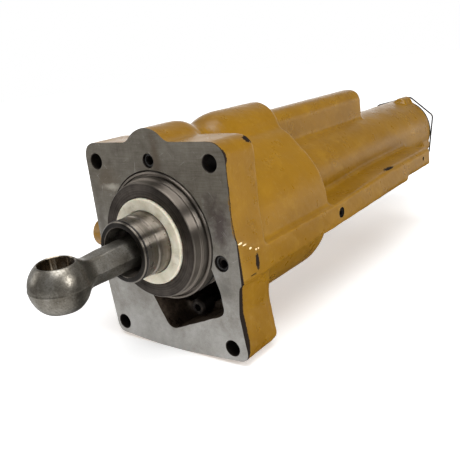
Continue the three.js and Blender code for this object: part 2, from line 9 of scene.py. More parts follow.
import bmesh
import bpy
import numpy as np
import openvdb as vdb
from mathutils import Matrix, Vector


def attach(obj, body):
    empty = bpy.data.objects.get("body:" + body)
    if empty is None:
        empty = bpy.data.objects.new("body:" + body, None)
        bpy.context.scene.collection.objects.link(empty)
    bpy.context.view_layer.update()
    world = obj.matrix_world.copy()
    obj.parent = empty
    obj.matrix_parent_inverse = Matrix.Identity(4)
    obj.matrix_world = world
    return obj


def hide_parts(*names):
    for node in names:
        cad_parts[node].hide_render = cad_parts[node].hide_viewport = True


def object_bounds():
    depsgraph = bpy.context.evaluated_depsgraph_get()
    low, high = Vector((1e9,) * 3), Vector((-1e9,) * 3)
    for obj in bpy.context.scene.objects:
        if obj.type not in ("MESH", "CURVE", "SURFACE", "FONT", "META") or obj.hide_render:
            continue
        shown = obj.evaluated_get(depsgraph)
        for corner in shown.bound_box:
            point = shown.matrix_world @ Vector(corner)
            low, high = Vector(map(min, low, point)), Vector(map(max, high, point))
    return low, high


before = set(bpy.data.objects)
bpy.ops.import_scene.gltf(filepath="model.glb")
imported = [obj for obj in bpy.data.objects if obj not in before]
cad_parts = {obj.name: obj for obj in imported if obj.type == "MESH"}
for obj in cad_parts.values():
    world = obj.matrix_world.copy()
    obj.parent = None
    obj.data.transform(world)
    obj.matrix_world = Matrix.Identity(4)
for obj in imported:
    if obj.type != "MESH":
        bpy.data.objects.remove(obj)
cad_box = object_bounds()

MM = 0.001

# ---------- sizes, in millimetres ----------

FLANGE_DEPTH, FLANGE_LOW_DEPTH, FLANGE_LOW_TOP, FLANGE_BOTTOM = 38.0, 44.0, -33.5, -102.5
BOLT_RADIUS, BOLT_X, BOLT_Z = 6.75, 62.5, (61.8, -88.3)
MAIN_RADIUS, MAIN_Z, LOBE_RADIUS, LOBE_X, LOBE_Z = 73.3, -9.5, 32.5, 15.0, 34.0
TOP_Z = 63.0
DRUM_END, DRUM_ROUND = 153.6, 3.8
BARREL_RADIUS, BARREL_END, WEB_FRONT, WEB_REAR = 44.0, 510.0, 397.0, 408.0
RIB_HALF, RIB_END, RIB_ROUND = 15.5, 354.8, 8.0
LUGS, LUG_RADIUS = ((10.5, 40.0), (34.5, -20.0)), 8.9
RAIL_X, RAIL_TOP, RAIL_LOW, RAIL_STEP, RAIL_REAR_LOW, RAIL_END = 78.9, -11.0, -32.6, 339.0, -28.0, 413.8
ROOT_TOP, ROOT_END = 2.2, 25.0
PORT_BOSS_RADIUS, PORT_BOSS_Y, PORT_BOSS_Z, PORT_BOSS_X = 13.4, 22.5, -11.0, -97.0
SIDE_PORT_X, SIDE_PORT_Z = 62.0, -16.3
POCKET_DEPTH, POCKET_DEEP_END, POCKET_WALL = 31.0, 90.0, 62.0
POCKET_PLUG_X, POCKET_PLUG_Z = 15.0, -68.5
CROSS_FRONT, CROSS_REAR = (167.0, -21.5, 5.25), (387.0, -14.8, 2.5)
BORE_RADIUS, BORE_DEPTH, CHAMBER_RADIUS, CHAMBER_END, BARREL_BORE = 54.9, 30.3, 50.0, 140.0, 35.0
COVER_BORE, PLUG_BORE, PLUG_LENGTH, GALLERY_DROP = 36.0, 5.2, 10.0, 2.4
BALL_Y, ROD_REACH, ROD_DROOP, ROD_ROLL = 35.0, 137.0, math.radians(1.3), math.radians(4.0)
EYE_RADIUS, EYE_HALF, EYE_BORE, ROD_NECK, BALL_RADIUS = 21.8, 16.9, 12.7, 9.5, 16.2

# ---------- camera, light and floor ----------

CAMERA_PLACE = Vector((0.3396, -0.3272, 0.1362))
CAMERA_TARGET = Vector((0.0431, 0.0386, -0.0026))
CAMERA_ROLL = math.radians(-6.97)
CAMERA_LENS = 46.5

# Each light: name, place, what it points at, size in metres and power in watts.
LIGHTS = [
    ("overhead", (0.35, -0.1, 1.3), (0.0, 0.1, 0.0), (1.1, 1.1), 15.0),
    ("window", (1.22, 0.0, 0.53), (0.0, -0.02, 0.02), (0.26, 0.5), 7.0),
    ("left", (-1.0, -0.7, 0.5), (0.0, 0.0, 0.0), (0.5, 0.9), 2.5),
]


def new_object(name, data):
    thing = bpy.data.objects.new(name, data)
    bpy.context.scene.collection.objects.link(thing)
    return thing


def aimed(place, target):
    """The matrix that stands a camera or a light at a place, looking at a target."""
    place, target = Vector(place), Vector(target)
    turn = (target - place).to_track_quat("-Z", "Y").to_matrix().to_4x4()
    return Matrix.Translation(place) @ turn


def make_camera():
    data = bpy.data.cameras.new("camera")
    data.lens = CAMERA_LENS
    data.sensor_width = 36.0
    data.clip_start = 0.01
    camera = new_object("camera", data)
    camera.matrix_world = aimed(CAMERA_PLACE, CAMERA_TARGET) @ Matrix.Rotation(CAMERA_ROLL, 4, "Z")
    bpy.context.scene.camera = camera


def make_lights():
    for name, place, target, size, power in LIGHTS:
        data = bpy.data.lights.new(name, "AREA")
        data.shape = "RECTANGLE"
        data.size, data.size_y = size
        data.energy = power
        light = new_object(name, data)
        light.matrix_world = aimed(place, target)
        light.visible_camera = False


def make_world():
    """White where the camera sees it; as light, a bright wall behind the object and dimmer elsewhere."""
    world = bpy.data.worlds.new("studio")
    bpy.context.scene.world = world
    world.use_nodes = True
    tree = Tree(world.node_tree)
    tree.nodes.clear()
    coord = tree.add("ShaderNodeTexCoord").outputs["Generated"]
    across, height = tree.split(coord, "X"), tree.range(tree.split(coord, "Z"), -1.0, 1.0)

    def shade_up(*stops):
        """Grey levels from straight down (0) to straight up (1)."""
        return tree.ramp(height, [(place, (level, level, level)) for place, level in stops])

    rear_left = shade_up((0.35, 0.02), (0.42, 0.4), (0.5, 0.95), (0.6, 0.95), (0.68, 0.25))
    rear_right = shade_up((0.34, 0.02), (0.38, 0.36), (0.46, 0.3), (0.51, 0.6), (0.6, 0.12))
    rear = tree.mix(tree.range(across, -0.25, 0.1), rear_left, rear_right)
    front = shade_up((0.1, 1.0), (0.3, 0.95), (0.44, 0.28), (0.6, 0.23), (0.9, 0.2))
    behind = tree.range(tree.split(coord, "Y"), -0.15, 0.4)
    level = tree.math("SUBTRACT", tree.range(across, 0.6, 0.72, 1.6, 0.2), 1.0)
    level = tree.scaled(behind, level, 1.0)
    lit = tree.add("ShaderNodeBackground", Color=tree.mix(behind, front, rear), Strength=level)
    seen = tree.add("ShaderNodeBackground", Color=(1.0, 1.0, 1.0), Strength=1.0)
    mix = tree.add("ShaderNodeMixShader", Fac=tree.add("ShaderNodeLightPath").outputs["Is Camera Ray"])
    tree.link(lit.outputs[0], mix.inputs[1])
    tree.link(seen.outputs[0], mix.inputs[2])
    tree.link(mix.outputs[0], tree.add("ShaderNodeOutputWorld").inputs["Surface"])


def make_floor(height, reach=6.0):
    """A pale floor that glows, more strongly away from the object, so that it brightens to white with no
    visible far edge.
    """
    mesh = bpy.data.meshes.new("floor")
    corners = [(x * reach, y * reach, height) for x, y in ((-1, -1), (1, -1), (1, 1), (-1, 1))]
    mesh.from_pydata(corners, [], [(0, 1, 2, 3)])
    floor = new_object("floor", mesh)
    material, tree, shader, place = new_material("floor_white", Roughness=0.9, Specular_IOR_Level=0.1)
    shader.inputs["Base Color"].default_value = (0.88, 0.88, 0.88, 1.0)
    shader.inputs["Emission Color"].default_value = (1.0, 1.0, 1.0, 1.0)
    # Painted light: the floor glows, from 0.3 near the object to 1.0 far off, and the glow also lights the
    # object.
    away = tree.vector("LENGTH", tree.vector("SUBTRACT", place, (0.0, 200.0, height / MM)))
    tree.link(tree.range(away, 120.0, 650.0, 0.30, 1.0), shader.inputs["Emission Strength"])
    mesh.materials.append(material)
    floor.visible_glossy = False


# ---------- node helpers ----------

class Tree:
    """Short ways to add and join shader nodes."""

    def __init__(self, node_tree):
        self.nodes = node_tree.nodes
        self.links = node_tree.links

    def link(self, source, target):
        self.links.new(source, target)

    def put(self, socket, value):
        if isinstance(value, bpy.types.NodeSocket):
            self.link(value, socket)
        elif isinstance(value, tuple) and len(value) == 3 and socket.type == "RGBA":
            socket.default_value = (*value, 1.0)
        else:
            socket.default_value = value

    def add(self, kind, **inputs):
        node = self.nodes.new(kind)
        for name, value in inputs.items():
            self.put(node.inputs[name.replace("_", " ")], value)
        return node

    def math(self, operation, *values):
        node = self.nodes.new("ShaderNodeMath")
        node.operation = operation
        for socket, value in zip(node.inputs, values):
            self.put(socket, value)
        return node.outputs[0]

    def times(self, first, second):
        return self.math("MULTIPLY", first, second)

    def scaled(self, value, factor, shift):
        return self.math("MULTIPLY_ADD", value, factor, shift)

    def vector(self, operation, *values):
        node = self.nodes.new("ShaderNodeVectorMath")
        node.operation = operation
        for socket, value in zip(node.inputs, values):
            self.put(socket, value)
        return node.outputs["Value" if operation == "LENGTH" else "Vector"]

    def split(self, vector, axis):
        return self.add("ShaderNodeSeparateXYZ", Vector=vector).outputs[axis]

    def join(self, x, y, z):
        return self.add("ShaderNodeCombineXYZ", X=x, Y=y, Z=z).outputs[0]

    def noise(self, vector, scale, detail=4.0, rough=0.55, distortion=0.0):
        node = self.add("ShaderNodeTexNoise", Vector=vector, Scale=scale, Detail=detail, Roughness=rough,
                        Distortion=distortion)
        return node.outputs[0]

    def stretched_noise(self, vector, stretch, detail=3.0, rough=0.55):
        return self.noise(self.vector("MULTIPLY", vector, stretch), 1.0, detail, rough)

    def ramp(self, factor, stops):
        node = self.add("ShaderNodeValToRGB", Fac=factor)
        elements = node.color_ramp.elements
        while len(elements) < len(stops):
            elements.new(0.5)
        for element, (place, color) in zip(elements, stops):
            element.position = place
            element.color = (*color, 1.0)
        return node.outputs["Color"]

    def range(self, value, low, high, to_low=0.0, to_high=1.0):
        node = self.add("ShaderNodeMapRange", Value=value)
        node.clamp = True
        for name, number in (("From Min", low), ("From Max", high), ("To Min", to_low), ("To Max", to_high)):
            node.inputs[name].default_value = number
        return node.outputs[0]

    def mix(self, factor, first, second):
        node = self.nodes.new("ShaderNodeMix")
        node.data_type = "RGBA"
        self.put(node.inputs["Factor"], factor)
        self.put(node.inputs["A"], first)
        self.put(node.inputs["B"], second)
        return next(o for o in node.outputs if o.name == "Result" and o.type == "RGBA")

    def tint(self, color, mask, amount, target):
        """The colour, moved towards another where the mask is set."""
        return self.mix(self.times(mask, amount), color, target)


def rgb(red, green, blue):
    """A colour given in 0-255 screen values, as linear light."""
    def linear(value):
        value /= 255.0
        return value / 12.92 if value <= 0.04045 else ((value + 0.055) / 1.055) ** 2.4
    return (linear(red), linear(green), linear(blue))


def new_material(name, **fixed):
    """A material with its tree, its shader and the object's coordinates in millimetres."""
    material = bpy.data.materials.new(name)
    material.use_nodes = True
    tree = Tree(material.node_tree)
    shader = tree.nodes["Principled BSDF"]
    for socket, value in fixed.items():
        shader.inputs[socket.replace("_", " ")].default_value = value
    coord = tree.add("ShaderNodeTexCoord").outputs["Object"]
    place = tree.vector("MULTIPLY", coord, (1 / MM, 1 / MM, 1 / MM))
    return material, tree, shader, place


def dress(tree, shader, color, roughness, height, strength, distance):
    """Links a colour, a roughness and a relief, whose height 1 stands for a distance in millimetres."""
    tree.link(color, shader.inputs["Base Color"])
    tree.link(roughness, shader.inputs["Roughness"])
    bump = tree.add("ShaderNodeBump", Height=height, Strength=strength, Distance=distance * MM)
    tree.link(bump.outputs[0], shader.inputs["Normal"])


# ---------- materials ----------

PAINT, PAINT_DEEP, PAINT_PALE = rgb(143, 102, 7), rgb(131, 92, 4), rgb(158, 118, 26)
BARE_IRON, BARE_SHADE = rgb(40, 30, 22), rgb(26, 22, 20)

# Where the paint is gone: (centre, half size) in millimetres.
CHIPS = [
    ((74.5, 36.0, 75.0), (4.6, 6.0, 4.2)),
    ((78.8, 23.8, -21.0), (2.5, 2.2, 7.0)),
    ((74.2, 291.5, -6.3), (4.6, 11.0, 0.9)),
    ((77.5, 1.0, 68.0), (3.5, 1.8, 6.5)),
    ((78.9, 17.0, -29.0), (1.5, 4.0, 0.5)),
    ((-20.0, 60.0, 82.0), (4.0, 3.0, 4.0)),
    ((-74.0, 44.0, -60.0), (5.0, 6.0, 3.0)),
    ((-40.0, 154.0, -62.0), (5.0, 3.0, 5.0)),
    ((-30.0, 330.0, 32.0), (3.0, 6.0, 3.0)),
]
# Painted highlights: near-white glints painted on the ridge of the rail's root: (centre, half size).
PAINTED_GLINTS = [
    ((78.6, 4.5, 0.2), (2.0, 3.0, 0.7)), ((78.6, 9.5, -2.4), (2.0, 2.4, 0.6)),
    ((78.6, 16.5, -7.2), (2.0, 1.6, 0.9)), ((78.6, 23.4, -10.4), (2.0, 1.0, 0.8)),
    ((78.6, 26.6, -10.6), (2.0, 0.8, 0.8)),
]
# Stains on the ground face: (centre, half size, colour, strength).
STAINS = [
    ((8.0, 0.0, 66.0), (5.0, 9.0, 22.0), rgb(82, 68, 52), 0.65),
    ((66.0, 0.0, 14.0), (9.0, 9.0, 20.0), rgb(70, 58, 56), 0.8),
    ((57.0, 0.0, 28.0), (6.0, 9.0, 12.0), rgb(64, 54, 50), 0.6),
    ((-52.0, 0.0, 46.0), (14.0, 9.0, 12.0), rgb(92, 78, 58), 0.5),
    ((-48.0, 0.0, 40.0), (12.0, 9.0, 3.0), rgb(206, 200, 186), 0.5),
    ((-69.0, 0.0, 8.0), (5.0, 9.0, 34.0), rgb(82, 76, 66), 0.5),
    ((0.0, 0.0, 58.5), (34.0, 9.0, 5.0), rgb(86, 78, 66), 0.4),
    ((62.0, 0.0, -38.0), (8.0, 9.0, 10.0), rgb(86, 82, 76), 0.5),
]


def spread_from(tree, place, centre, reach, ragged):
    """Distance from a point in units of an ellipsoid's half size, made ragged."""
    offset = tree.vector("DIVIDE", tree.vector("SUBTRACT", place, centre), reach)
    return tree.math("ADD", tree.vector("LENGTH", offset), ragged)


def spots_at(tree, place, spots, ragged):
    """1 inside any of a list of ragged-edged ellipsoids, 0 outside."""
    total = None
    for centre, reach in spots:
        spot = tree.range(spread_from(tree, place, centre, reach, ragged), 1.06, 0.94)
        total = spot if total is None else tree.math("MAXIMUM", total, spot)
    return total


def unpainted_strip(tree, place, ragged):
    """The dark band behind the ground face, a hair wide at the top and widest low on the right."""
    height = tree.split(place, "Z")
    low = tree.times(tree.range(height, 10.0, -62.0), tree.range(height, -99.0, -82.0))
    width = tree.scaled(ragged, 1.6, tree.scaled(low, 4.6, 0.9))
    depth = tree.math("SUBTRACT", tree.split(place, "Y"), width)
    return tree.times(tree.range(depth, 0.2, -0.2), tree.range(tree.split(place, "X"), 56.0, 62.0))


def paint_material():
    """Ochre enamel sprayed over a sand casting, worn through at edges and in a few chips, with painted shade
    and highlights.
    """
    material, tree, shader, place = new_material("ochre_paint")
    broad = tree.noise(place, 0.013, 3.0)
    patch = tree.range(tree.noise(place, 0.06, 4.0), 0.5, 0.74)
    streak = tree.range(tree.stretched_noise(place, (0.5, 0.5, 0.05)), 0.5, 0.72)
    speck = tree.range(tree.noise(place, 1.1, 3.0), 0.68, 0.76)
    dust = tree.range(tree.noise(place, 0.24, 5.0, 0.65), 0.56, 0.72)
    color = tree.mix(tree.range(broad, 0.38, 0.64), PAINT_DEEP, PAINT)
    color = tree.tint(color, patch, 0.4, PAINT_PALE)
    color = tree.tint(color, streak, 0.18, rgb(120, 82, 4))
    color = tree.tint(color, speck, 0.3, rgb(92, 64, 12))
    color = tree.tint(color, dust, 0.16, rgb(176, 146, 90))

    pointed = tree.add("ShaderNodeNewGeometry").outputs["Pointiness"]
    # Painted shade: the paint is darkened where the surface is concave, in hollows and creases; painted
    # highlight: it is lightened on convex edges.
    color = tree.tint(color, tree.range(pointed, 0.496, 0.47), 0.2, rgb(98, 68, 6))
    color = tree.tint(color, tree.range(pointed, 0.515, 0.56), 0.35, rgb(176, 138, 60))

    ragged = tree.scaled(tree.noise(place, 0.55, 5.0, 0.7), 1.5, -0.75)
    worn = tree.range(tree.noise(place, 0.16, 5.0, 0.65), 0.585, 0.63)
    bare = tree.times(tree.range(pointed, 0.57, 0.62), worn)
    bare = tree.math("MAXIMUM", bare, spots_at(tree, place, CHIPS, ragged))
    bare = tree.math("MAXIMUM", bare, unpainted_strip(tree, place, ragged))
    iron = tree.mix(tree.noise(place, 0.35, 5.0), BARE_IRON, BARE_SHADE)
    color = tree.mix(bare, color, iron)
    # Painted highlight: near-white glints on the ridge of the rail's root.
    painted_glint = spots_at(tree, place, PAINTED_GLINTS, tree.times(ragged, 0.6))
    color = tree.mix(painted_glint, color, rgb(252, 226, 178))

    tree.link(tree.scaled(bare, -0.35, 0.5), shader.inputs["Specular IOR Level"])
    gloss = tree.range(tree.noise(place, 0.05, 4.0), 0.3, 0.75, 0.25, 0.38)
    peel = tree.noise(place, 0.8, 2.0, 0.45)
    sand = tree.noise(place, 0.2, 3.0, 0.5)
    height = tree.math("ADD", sand, tree.times(peel, 0.4))
    height = tree.math("SUBTRACT", height, tree.times(bare, 0.9))
    dress(tree, shader, color, tree.math("ADD", gloss, tree.times(bare, 0.6)), height, 0.5, 0.3)
    return material


def inside_material():
    """Unpainted cast inside of the pocket, brown with oil."""
    material, tree, shader, place = new_material("oily_casting", Metallic=0.3, Specular_IOR_Level=0.5)
    cloud = tree.noise(place, 0.09, 5.0, 0.6, 0.5)
    grit = tree.noise(place, 0.7, 4.0, 0.6)
    color = tree.ramp(cloud, [(0.3, rgb(50, 40, 34)), (0.52, rgb(92, 78, 66)), (0.7, rgb(128, 114, 98))])
    color = tree.tint(color, tree.range(grit, 0.5, 0.7), 0.5, rgb(40, 30, 24))
    rough = tree.range(cloud, 0.3, 0.7, 0.22, 0.45)
    dress(tree, shader, color, rough, tree.scaled(cloud, 1.4, grit), 0.5, 0.3)
    return material


def scratches(tree, place):
    """Sparse thin scratches in a few directions across a flat face."""
    total = None
    for turn, scale, shift in ((0.5, 0.055, 0.0), (-0.9, 0.07, 31.0), (1.4, 0.05, 67.0)):
        rotate = tree.add("ShaderNodeVectorRotate", Vector=place, Angle=turn)
        rotate.rotation_type = "Y_AXIS"
        stretched = tree.vector("MULTIPLY", rotate.outputs[0], (scale, 1.0, 1.3))
        shifted = tree.vector("ADD", stretched, (shift, shift, shift))
        line = tree.range(tree.noise(shifted, 1.0, 1.0, 0.4), 0.715, 0.745)
        total = line if total is None else tree.math("MAXIMUM", total, line)
    return total


def overspray(tree, place):
    """1 on the strip along the face's right edge where some paint has come round, 0 elsewhere."""
    height = tree.split(place, "Z")
    edge = tree.scaled(tree.noise(place, 0.3, 4.0, 0.7), 6.0, tree.split(place, "X"))
    band = tree.times(tree.range(height, 40.0, 32.0), tree.range(height, 4.0, 10.0))
    return tree.times(tree.range(edge, 78.6, 79.6), band)


def ground_iron_material():
    """The flange's ground face: fine straight grinding lines, stains, scratches and rust freckles, and
    painted light that makes it lighter towards the bottom.
    """
    material, tree, shader, place = new_material("ground_iron", Metallic=0.35, Specular_IOR_Level=0.4)
    lines = tree.stretched_noise(place, (0.05, 1.0, 1.6), rough=0.6)
    cross = tree.stretched_noise(place, (1.1, 1.0, 0.05), rough=0.6)
    cloud = tree.noise(place, 0.035, 5.0, 0.6, 0.6)
    mottle = tree.noise(place, 0.16, 6.0, 0.72)
    grain = tree.range(tree.noise(place, 1.3, 3.0, 0.6), 0.5, 0.72)
    # Painted light: the tone is made lighter towards the bottom of the face, as if more light fell there.
    low = tree.range(tree.split(place, "Z"), 62.0, -80.0)
    tone = tree.scaled(low, 0.42, tree.scaled(cloud, 0.5, -0.1))
    tone = tree.scaled(mottle, 0.36, tone)
    color = tree.ramp(tone, [(0.24, rgb(84, 77, 65)), (0.42, rgb(110, 104, 93)), (0.62, rgb(144, 140, 133)),
                             (0.85, rgb(186, 184, 180))])
    fine = tree.scaled(lines, 0.7, tree.times(cross, 0.3))
    color = tree.tint(color, tree.range(fine, 0.4, 0.66), 0.12, rgb(186, 183, 176))
    color = tree.tint(color, grain, 0.3, rgb(86, 78, 68))
    ragged = tree.scaled(tree.noise(place, 0.12, 5.0, 0.7), 2.2, -1.1)
    for centre, reach, shade_color, strength in STAINS:
        stain = tree.range(spread_from(tree, place, centre, reach, ragged), 1.25, 0.35)
        color = tree.tint(color, stain, strength, shade_color)
    rust = tree.range(tree.noise(place, 0.5, 4.0, 0.7), 0.67, 0.73)
    color = tree.tint(color, rust, 0.6, rgb(84, 58, 40))
    scratch = tree.times(scratches(tree, place), tree.range(mottle, 0.42, 0.6))
    color = tree.tint(color, scratch, 0.4, rgb(204, 200, 192))
    color = tree.tint(color, overspray(tree, place), 0.85, PAINT)
    height = tree.scaled(lines, 0.4, tree.times(mottle, 0.5))
    height = tree.scaled(cross, 0.12, height)
    height = tree.scaled(scratch, -0.6, height)
    dress(tree, shader, color, tree.range(mottle, 0.3, 0.7, 0.34, 0.52), height, 0.4, 0.14)
    return material


def bore_material():
    """Inside surfaces of the casting: bored iron under a film of dark oil."""
    material, tree, shader, place = new_material("bored_iron", Metallic=0.8, Specular_IOR_Level=0.5)
    rings = tree.stretched_noise(place, (0.02, 2.2, 0.02))
    smear = tree.noise(place, 0.12, 5.0, 0.6)
    color = tree.mix(smear, rgb(44, 38, 35), rgb(84, 77, 71))
    color = tree.tint(color, tree.range(rings, 0.35, 0.65), 0.3, rgb(30, 27, 25))
    dress(tree, shader, color, tree.range(smear, 0.3, 0.7, 0.3, 0.55), rings, 0.3, 0.1)
    return material


def turned_material(name, dark, light, metallic, rough, mark=0.25, stain=None, rim=None, painted_dark_reflection_end=None):
    """Lathe-turned metal: fine rings that follow the turning, faint stains, uneven gloss.

    A stain is (colour, strength). A rim is the radius beyond which the metal is painted brighter, a painted
    reflection; a dark end is the place along Y in front of which it is painted dark, a painted dark
    reflection.
    """
    material, tree, shader, place = new_material(name, Metallic=metallic, Specular_IOR_Level=0.5,
                                                 Anisotropic=0.95, Anisotropic_Rotation=0.25)
    around = tree.nodes.new("ShaderNodeTangent")
    around.direction_type = "RADIAL"
    around.axis = "Y"
    tree.link(around.outputs["Tangent"], shader.inputs["Tangent"])
    along = tree.split(place, "Y")
    radius = tree.vector("LENGTH", tree.join(tree.split(place, "X"), 0.0, tree.split(place, "Z")))

    def rings(scale, shift):
        return tree.noise(tree.join(tree.times(radius, scale), tree.times(along, scale), shift), 1.0, 2.0)

    feed, coarse = rings(3.1, 0.0), rings(0.8, 4.0)
    cloud = tree.noise(place, 0.07, 5.0, 0.6)
    tone = tree.scaled(coarse, 0.45, tree.times(cloud, 0.55))
    color = tree.mix(tree.range(tone, 0.36, 0.64), dark, light)
    if stain is not None:
        stain_color, strength = stain
        spots = tree.range(tree.noise(place, 0.2, 5.0, 0.7, 0.5), 0.56, 0.68)
        color = tree.tint(color, spots, strength, stain_color)
    # Painted reflection: beyond the rim radius the metal is painted a brighter grey, for the light reflected
    # on the gland's outer side.
    if rim is not None:
        color = tree.mix(tree.range(radius, rim, rim + 0.8), color, rgb(132, 124, 115))
    # Painted dark reflection: in front of this place along Y the metal is painted dark, for the dark
    # surroundings that the ram's mouth reflects.
    if painted_dark_reflection_end is not None:
        color = tree.mix(tree.range(along, painted_dark_reflection_end + 0.4, painted_dark_reflection_end), color, rgb(50, 47, 44))
    roughness = tree.range(tree.noise(place, 0.16, 4.0), 0.3, 0.7, *rough)
    dress(tree, shader, color, roughness, tree.scaled(feed, 0.6, tree.times(coarse, 0.4)), mark, 0.08)
    return material


def forged_material():
    """Drop-forged steel, tumbled: soft dents, pits, oily brown shadows and rubbed bright spots."""
    material, tree, shader, place = new_material("forged_steel", Metallic=0.92, Specular_IOR_Level=0.5)
    cloud = tree.noise(place, 0.06, 5.0, 0.6, 0.4)
    grit = tree.noise(place, 0.8, 5.0, 0.65)
    rubbed = tree.range(tree.noise(place, 0.45, 4.0, 0.7), 0.54, 0.68)
    cells = tree.add("ShaderNodeTexVoronoi", Vector=place, Scale=0.34).outputs["Distance"]
    pitted = tree.range(tree.noise(place, 0.1, 3.0), 0.45, 0.6)
    pits = tree.times(tree.range(cells, 0.11, 0.04), pitted)
    color = tree.ramp(cloud, [(0.3, rgb(98, 92, 82)), (0.5, rgb(136, 131, 121)), (0.72, rgb(168, 164, 156))])
    color = tree.tint(color, tree.range(grit, 0.44, 0.66), 0.5, rgb(76, 70, 60))
    color = tree.tint(color, rubbed, 0.4, rgb(168, 164, 156))
    color = tree.tint(color, pits, 0.7, rgb(48, 40, 32))
    dents = tree.noise(place, 0.17, 3.0, 0.5)
    height = tree.scaled(dents, 1.5, tree.times(grit, 0.4))
    height = tree.scaled(pits, -0.8, height)
    dress(tree, shader, color, tree.range(grit, 0.3, 0.7, 0.27, 0.46), height, 0.42, 0.3)
    return material


def nylon_material():
    """Off-white nylon ring, turned, with handling marks and oil stains."""
    material, tree, shader, place = new_material("white_nylon", Specular_IOR_Level=0.45,
                                                 Subsurface_Weight=0.12, Subsurface_Scale=0.004)
    cloud = tree.noise(place, 0.08, 4.0, 0.6)
    stain = tree.range(tree.noise(place, 0.13, 5.0, 0.65, 0.5), 0.56, 0.70)
    freckle = tree.range(tree.noise(place, 0.9, 3.0, 0.6), 0.68, 0.74)
    color = tree.mix(tree.range(cloud, 0.35, 0.65), rgb(204, 196, 172), rgb(228, 222, 204))
    color = tree.tint(color, stain, 0.45, rgb(132, 118, 86))
    color = tree.tint(color, freckle, 0.5, rgb(96, 84, 60))
    roughness = tree.range(cloud, 0.3, 0.7, 0.36, 0.52)
    dress(tree, shader, color, roughness, tree.noise(place, 0.7, 4.0), 0.2, 0.12)
    return material


def rubber_material():
    """Black nitrile rubber with a faint bloom."""
    material, tree, shader, place = new_material("black_rubber", Specular_IOR_Level=0.4)
    bloom = tree.noise(place, 0.25, 5.0, 0.6)
    color = tree.mix(tree.range(bloom, 0.35, 0.7), rgb(24, 23, 23), rgb(52, 50, 48))
    roughness = tree.range(bloom, 0.3, 0.7, 0.42, 0.62)
    dress(tree, shader, color, roughness, tree.noise(place, 1.5, 3.0), 0.25, 0.06)
    return material


def make_materials():
    return {
        "paint": paint_material(),
        "ground": ground_iron_material(),
        "bore": bore_material(),
        "inside": inside_material(),
        # The gland's material has a painted reflection: brighter grey from radius 47.4 outwards.
        "gland": turned_material("dark_turned_steel", rgb(50, 45, 41), rgb(90, 83, 77), 0.95, (0.32, 0.44),
                                 0.2, (rgb(50, 40, 33), 0.5), rim=47.4),
        # The ram's mouth face gets a painted dark reflection.
        "ram": turned_material("polished_steel", rgb(118, 110, 99), rgb(164, 156, 146), 1.0, (0.26, 0.36),
                               0.12, (rgb(92, 80, 66), 0.45), painted_dark_reflection_end=-41.9),
        "forged": forged_material(),
        "eye_bore": turned_material("reamed_eye", rgb(120, 104, 84), rgb(176, 168, 154), 1.0, (0.16, 0.3)),
        "bronze": turned_material("bronze", rgb(126, 88, 42), rgb(180, 138, 74), 0.95, (0.22, 0.38)),
        "nylon": nylon_material(),
        "rubber": rubber_material(),
        "wire": turned_material("black_wire", rgb(40, 38, 37), rgb(84, 80, 77), 0.85, (0.28, 0.44)),
        "plug": turned_material("blackened_steel", rgb(34, 31, 29), rgb(74, 68, 63), 0.85, (0.3, 0.5), 0.3,
                                (rgb(78, 52, 34), 0.5)),
    }


# ---------- mesh helpers ----------

AXIS = 1e-6
ALMOST_STRAIGHT = math.radians(168.0)
AXIS_TURNS = {
    "Y": Matrix.Identity(4),
    "-Y": Matrix.Rotation(math.pi, 4, "Z"),
    "X": Matrix.Rotation(-math.pi / 2, 4, "Z"),
    "-X": Matrix.Rotation(math.pi / 2, 4, "Z"),
    "Z": Matrix.Rotation(math.pi / 2, 4, "X"),
}


def mesh_object(name, vertices, faces, sharp_degrees=35.0):
    """A smooth-shaded object from points in millimetres, with edges over an angle left sharp."""
    mesh = bpy.data.meshes.new(name)
    mesh.from_pydata([(x * MM, y * MM, z * MM) for x, y, z in vertices], [], faces)
    mesh.validate()
    thing = new_object(name, mesh)
    shade(thing, sharp_degrees)
    return thing


def shade(thing, sharp_degrees):
    mesh = thing.data
    mesh.polygons.foreach_set("use_smooth", [True] * len(mesh.polygons))
    mesh.set_sharp_from_angle(angle=math.radians(sharp_degrees))
    mesh.update()


def settle(thing):
    """Replaces a thing's mesh by what its modifiers make of it."""
    depsgraph = bpy.context.evaluated_depsgraph_get()
    result = bpy.data.meshes.new_from_object(thing.evaluated_get(depsgraph))
    thing.modifiers.clear()
    old, thing.data = thing.data, result
    bpy.data.meshes.remove(old)


def bend(start, corner, end, steps):
    """Points along a smooth bend from a start to an end, pulled towards a corner."""
    places = [k / steps for k in range(steps + 1)]
    return [start * (1 - t) ** 2 + corner * 2 * t * (1 - t) + end * t ** 2 for t in places]


def corner_arc(before, corner, after, radius, share, steps):
    """Points that round a corner, using up no more than a share of the side to either neighbour."""
    back, ahead = before - corner, after - corner
    reach = min(radius / math.tan(back.angle(ahead) / 2), back.length * share, ahead.length * share)
    arc = bend(corner + back.normalized() * reach, corner, corner + ahead.normalized() * reach, steps)
    return [tuple(point) for point in arc]


def softened(profile, radius, closed):
    """The profile with each real corner off the axis turned into a small arc."""
    points = [Vector(p) for p in profile]
    result = []
    for i, point in enumerate(points):
        before, after = points[i - 1], points[(i + 1) % len(points)]
        end = not closed and i in (0, len(points) - 1)
        if end or radius == 0 or point.x < AXIS or (before - point).angle(after - point) > ALMOST_STRAIGHT:
            result.append(tuple(point))
        else:
            result += corner_arc(before, point, after, radius, 0.42, 3)
    return result


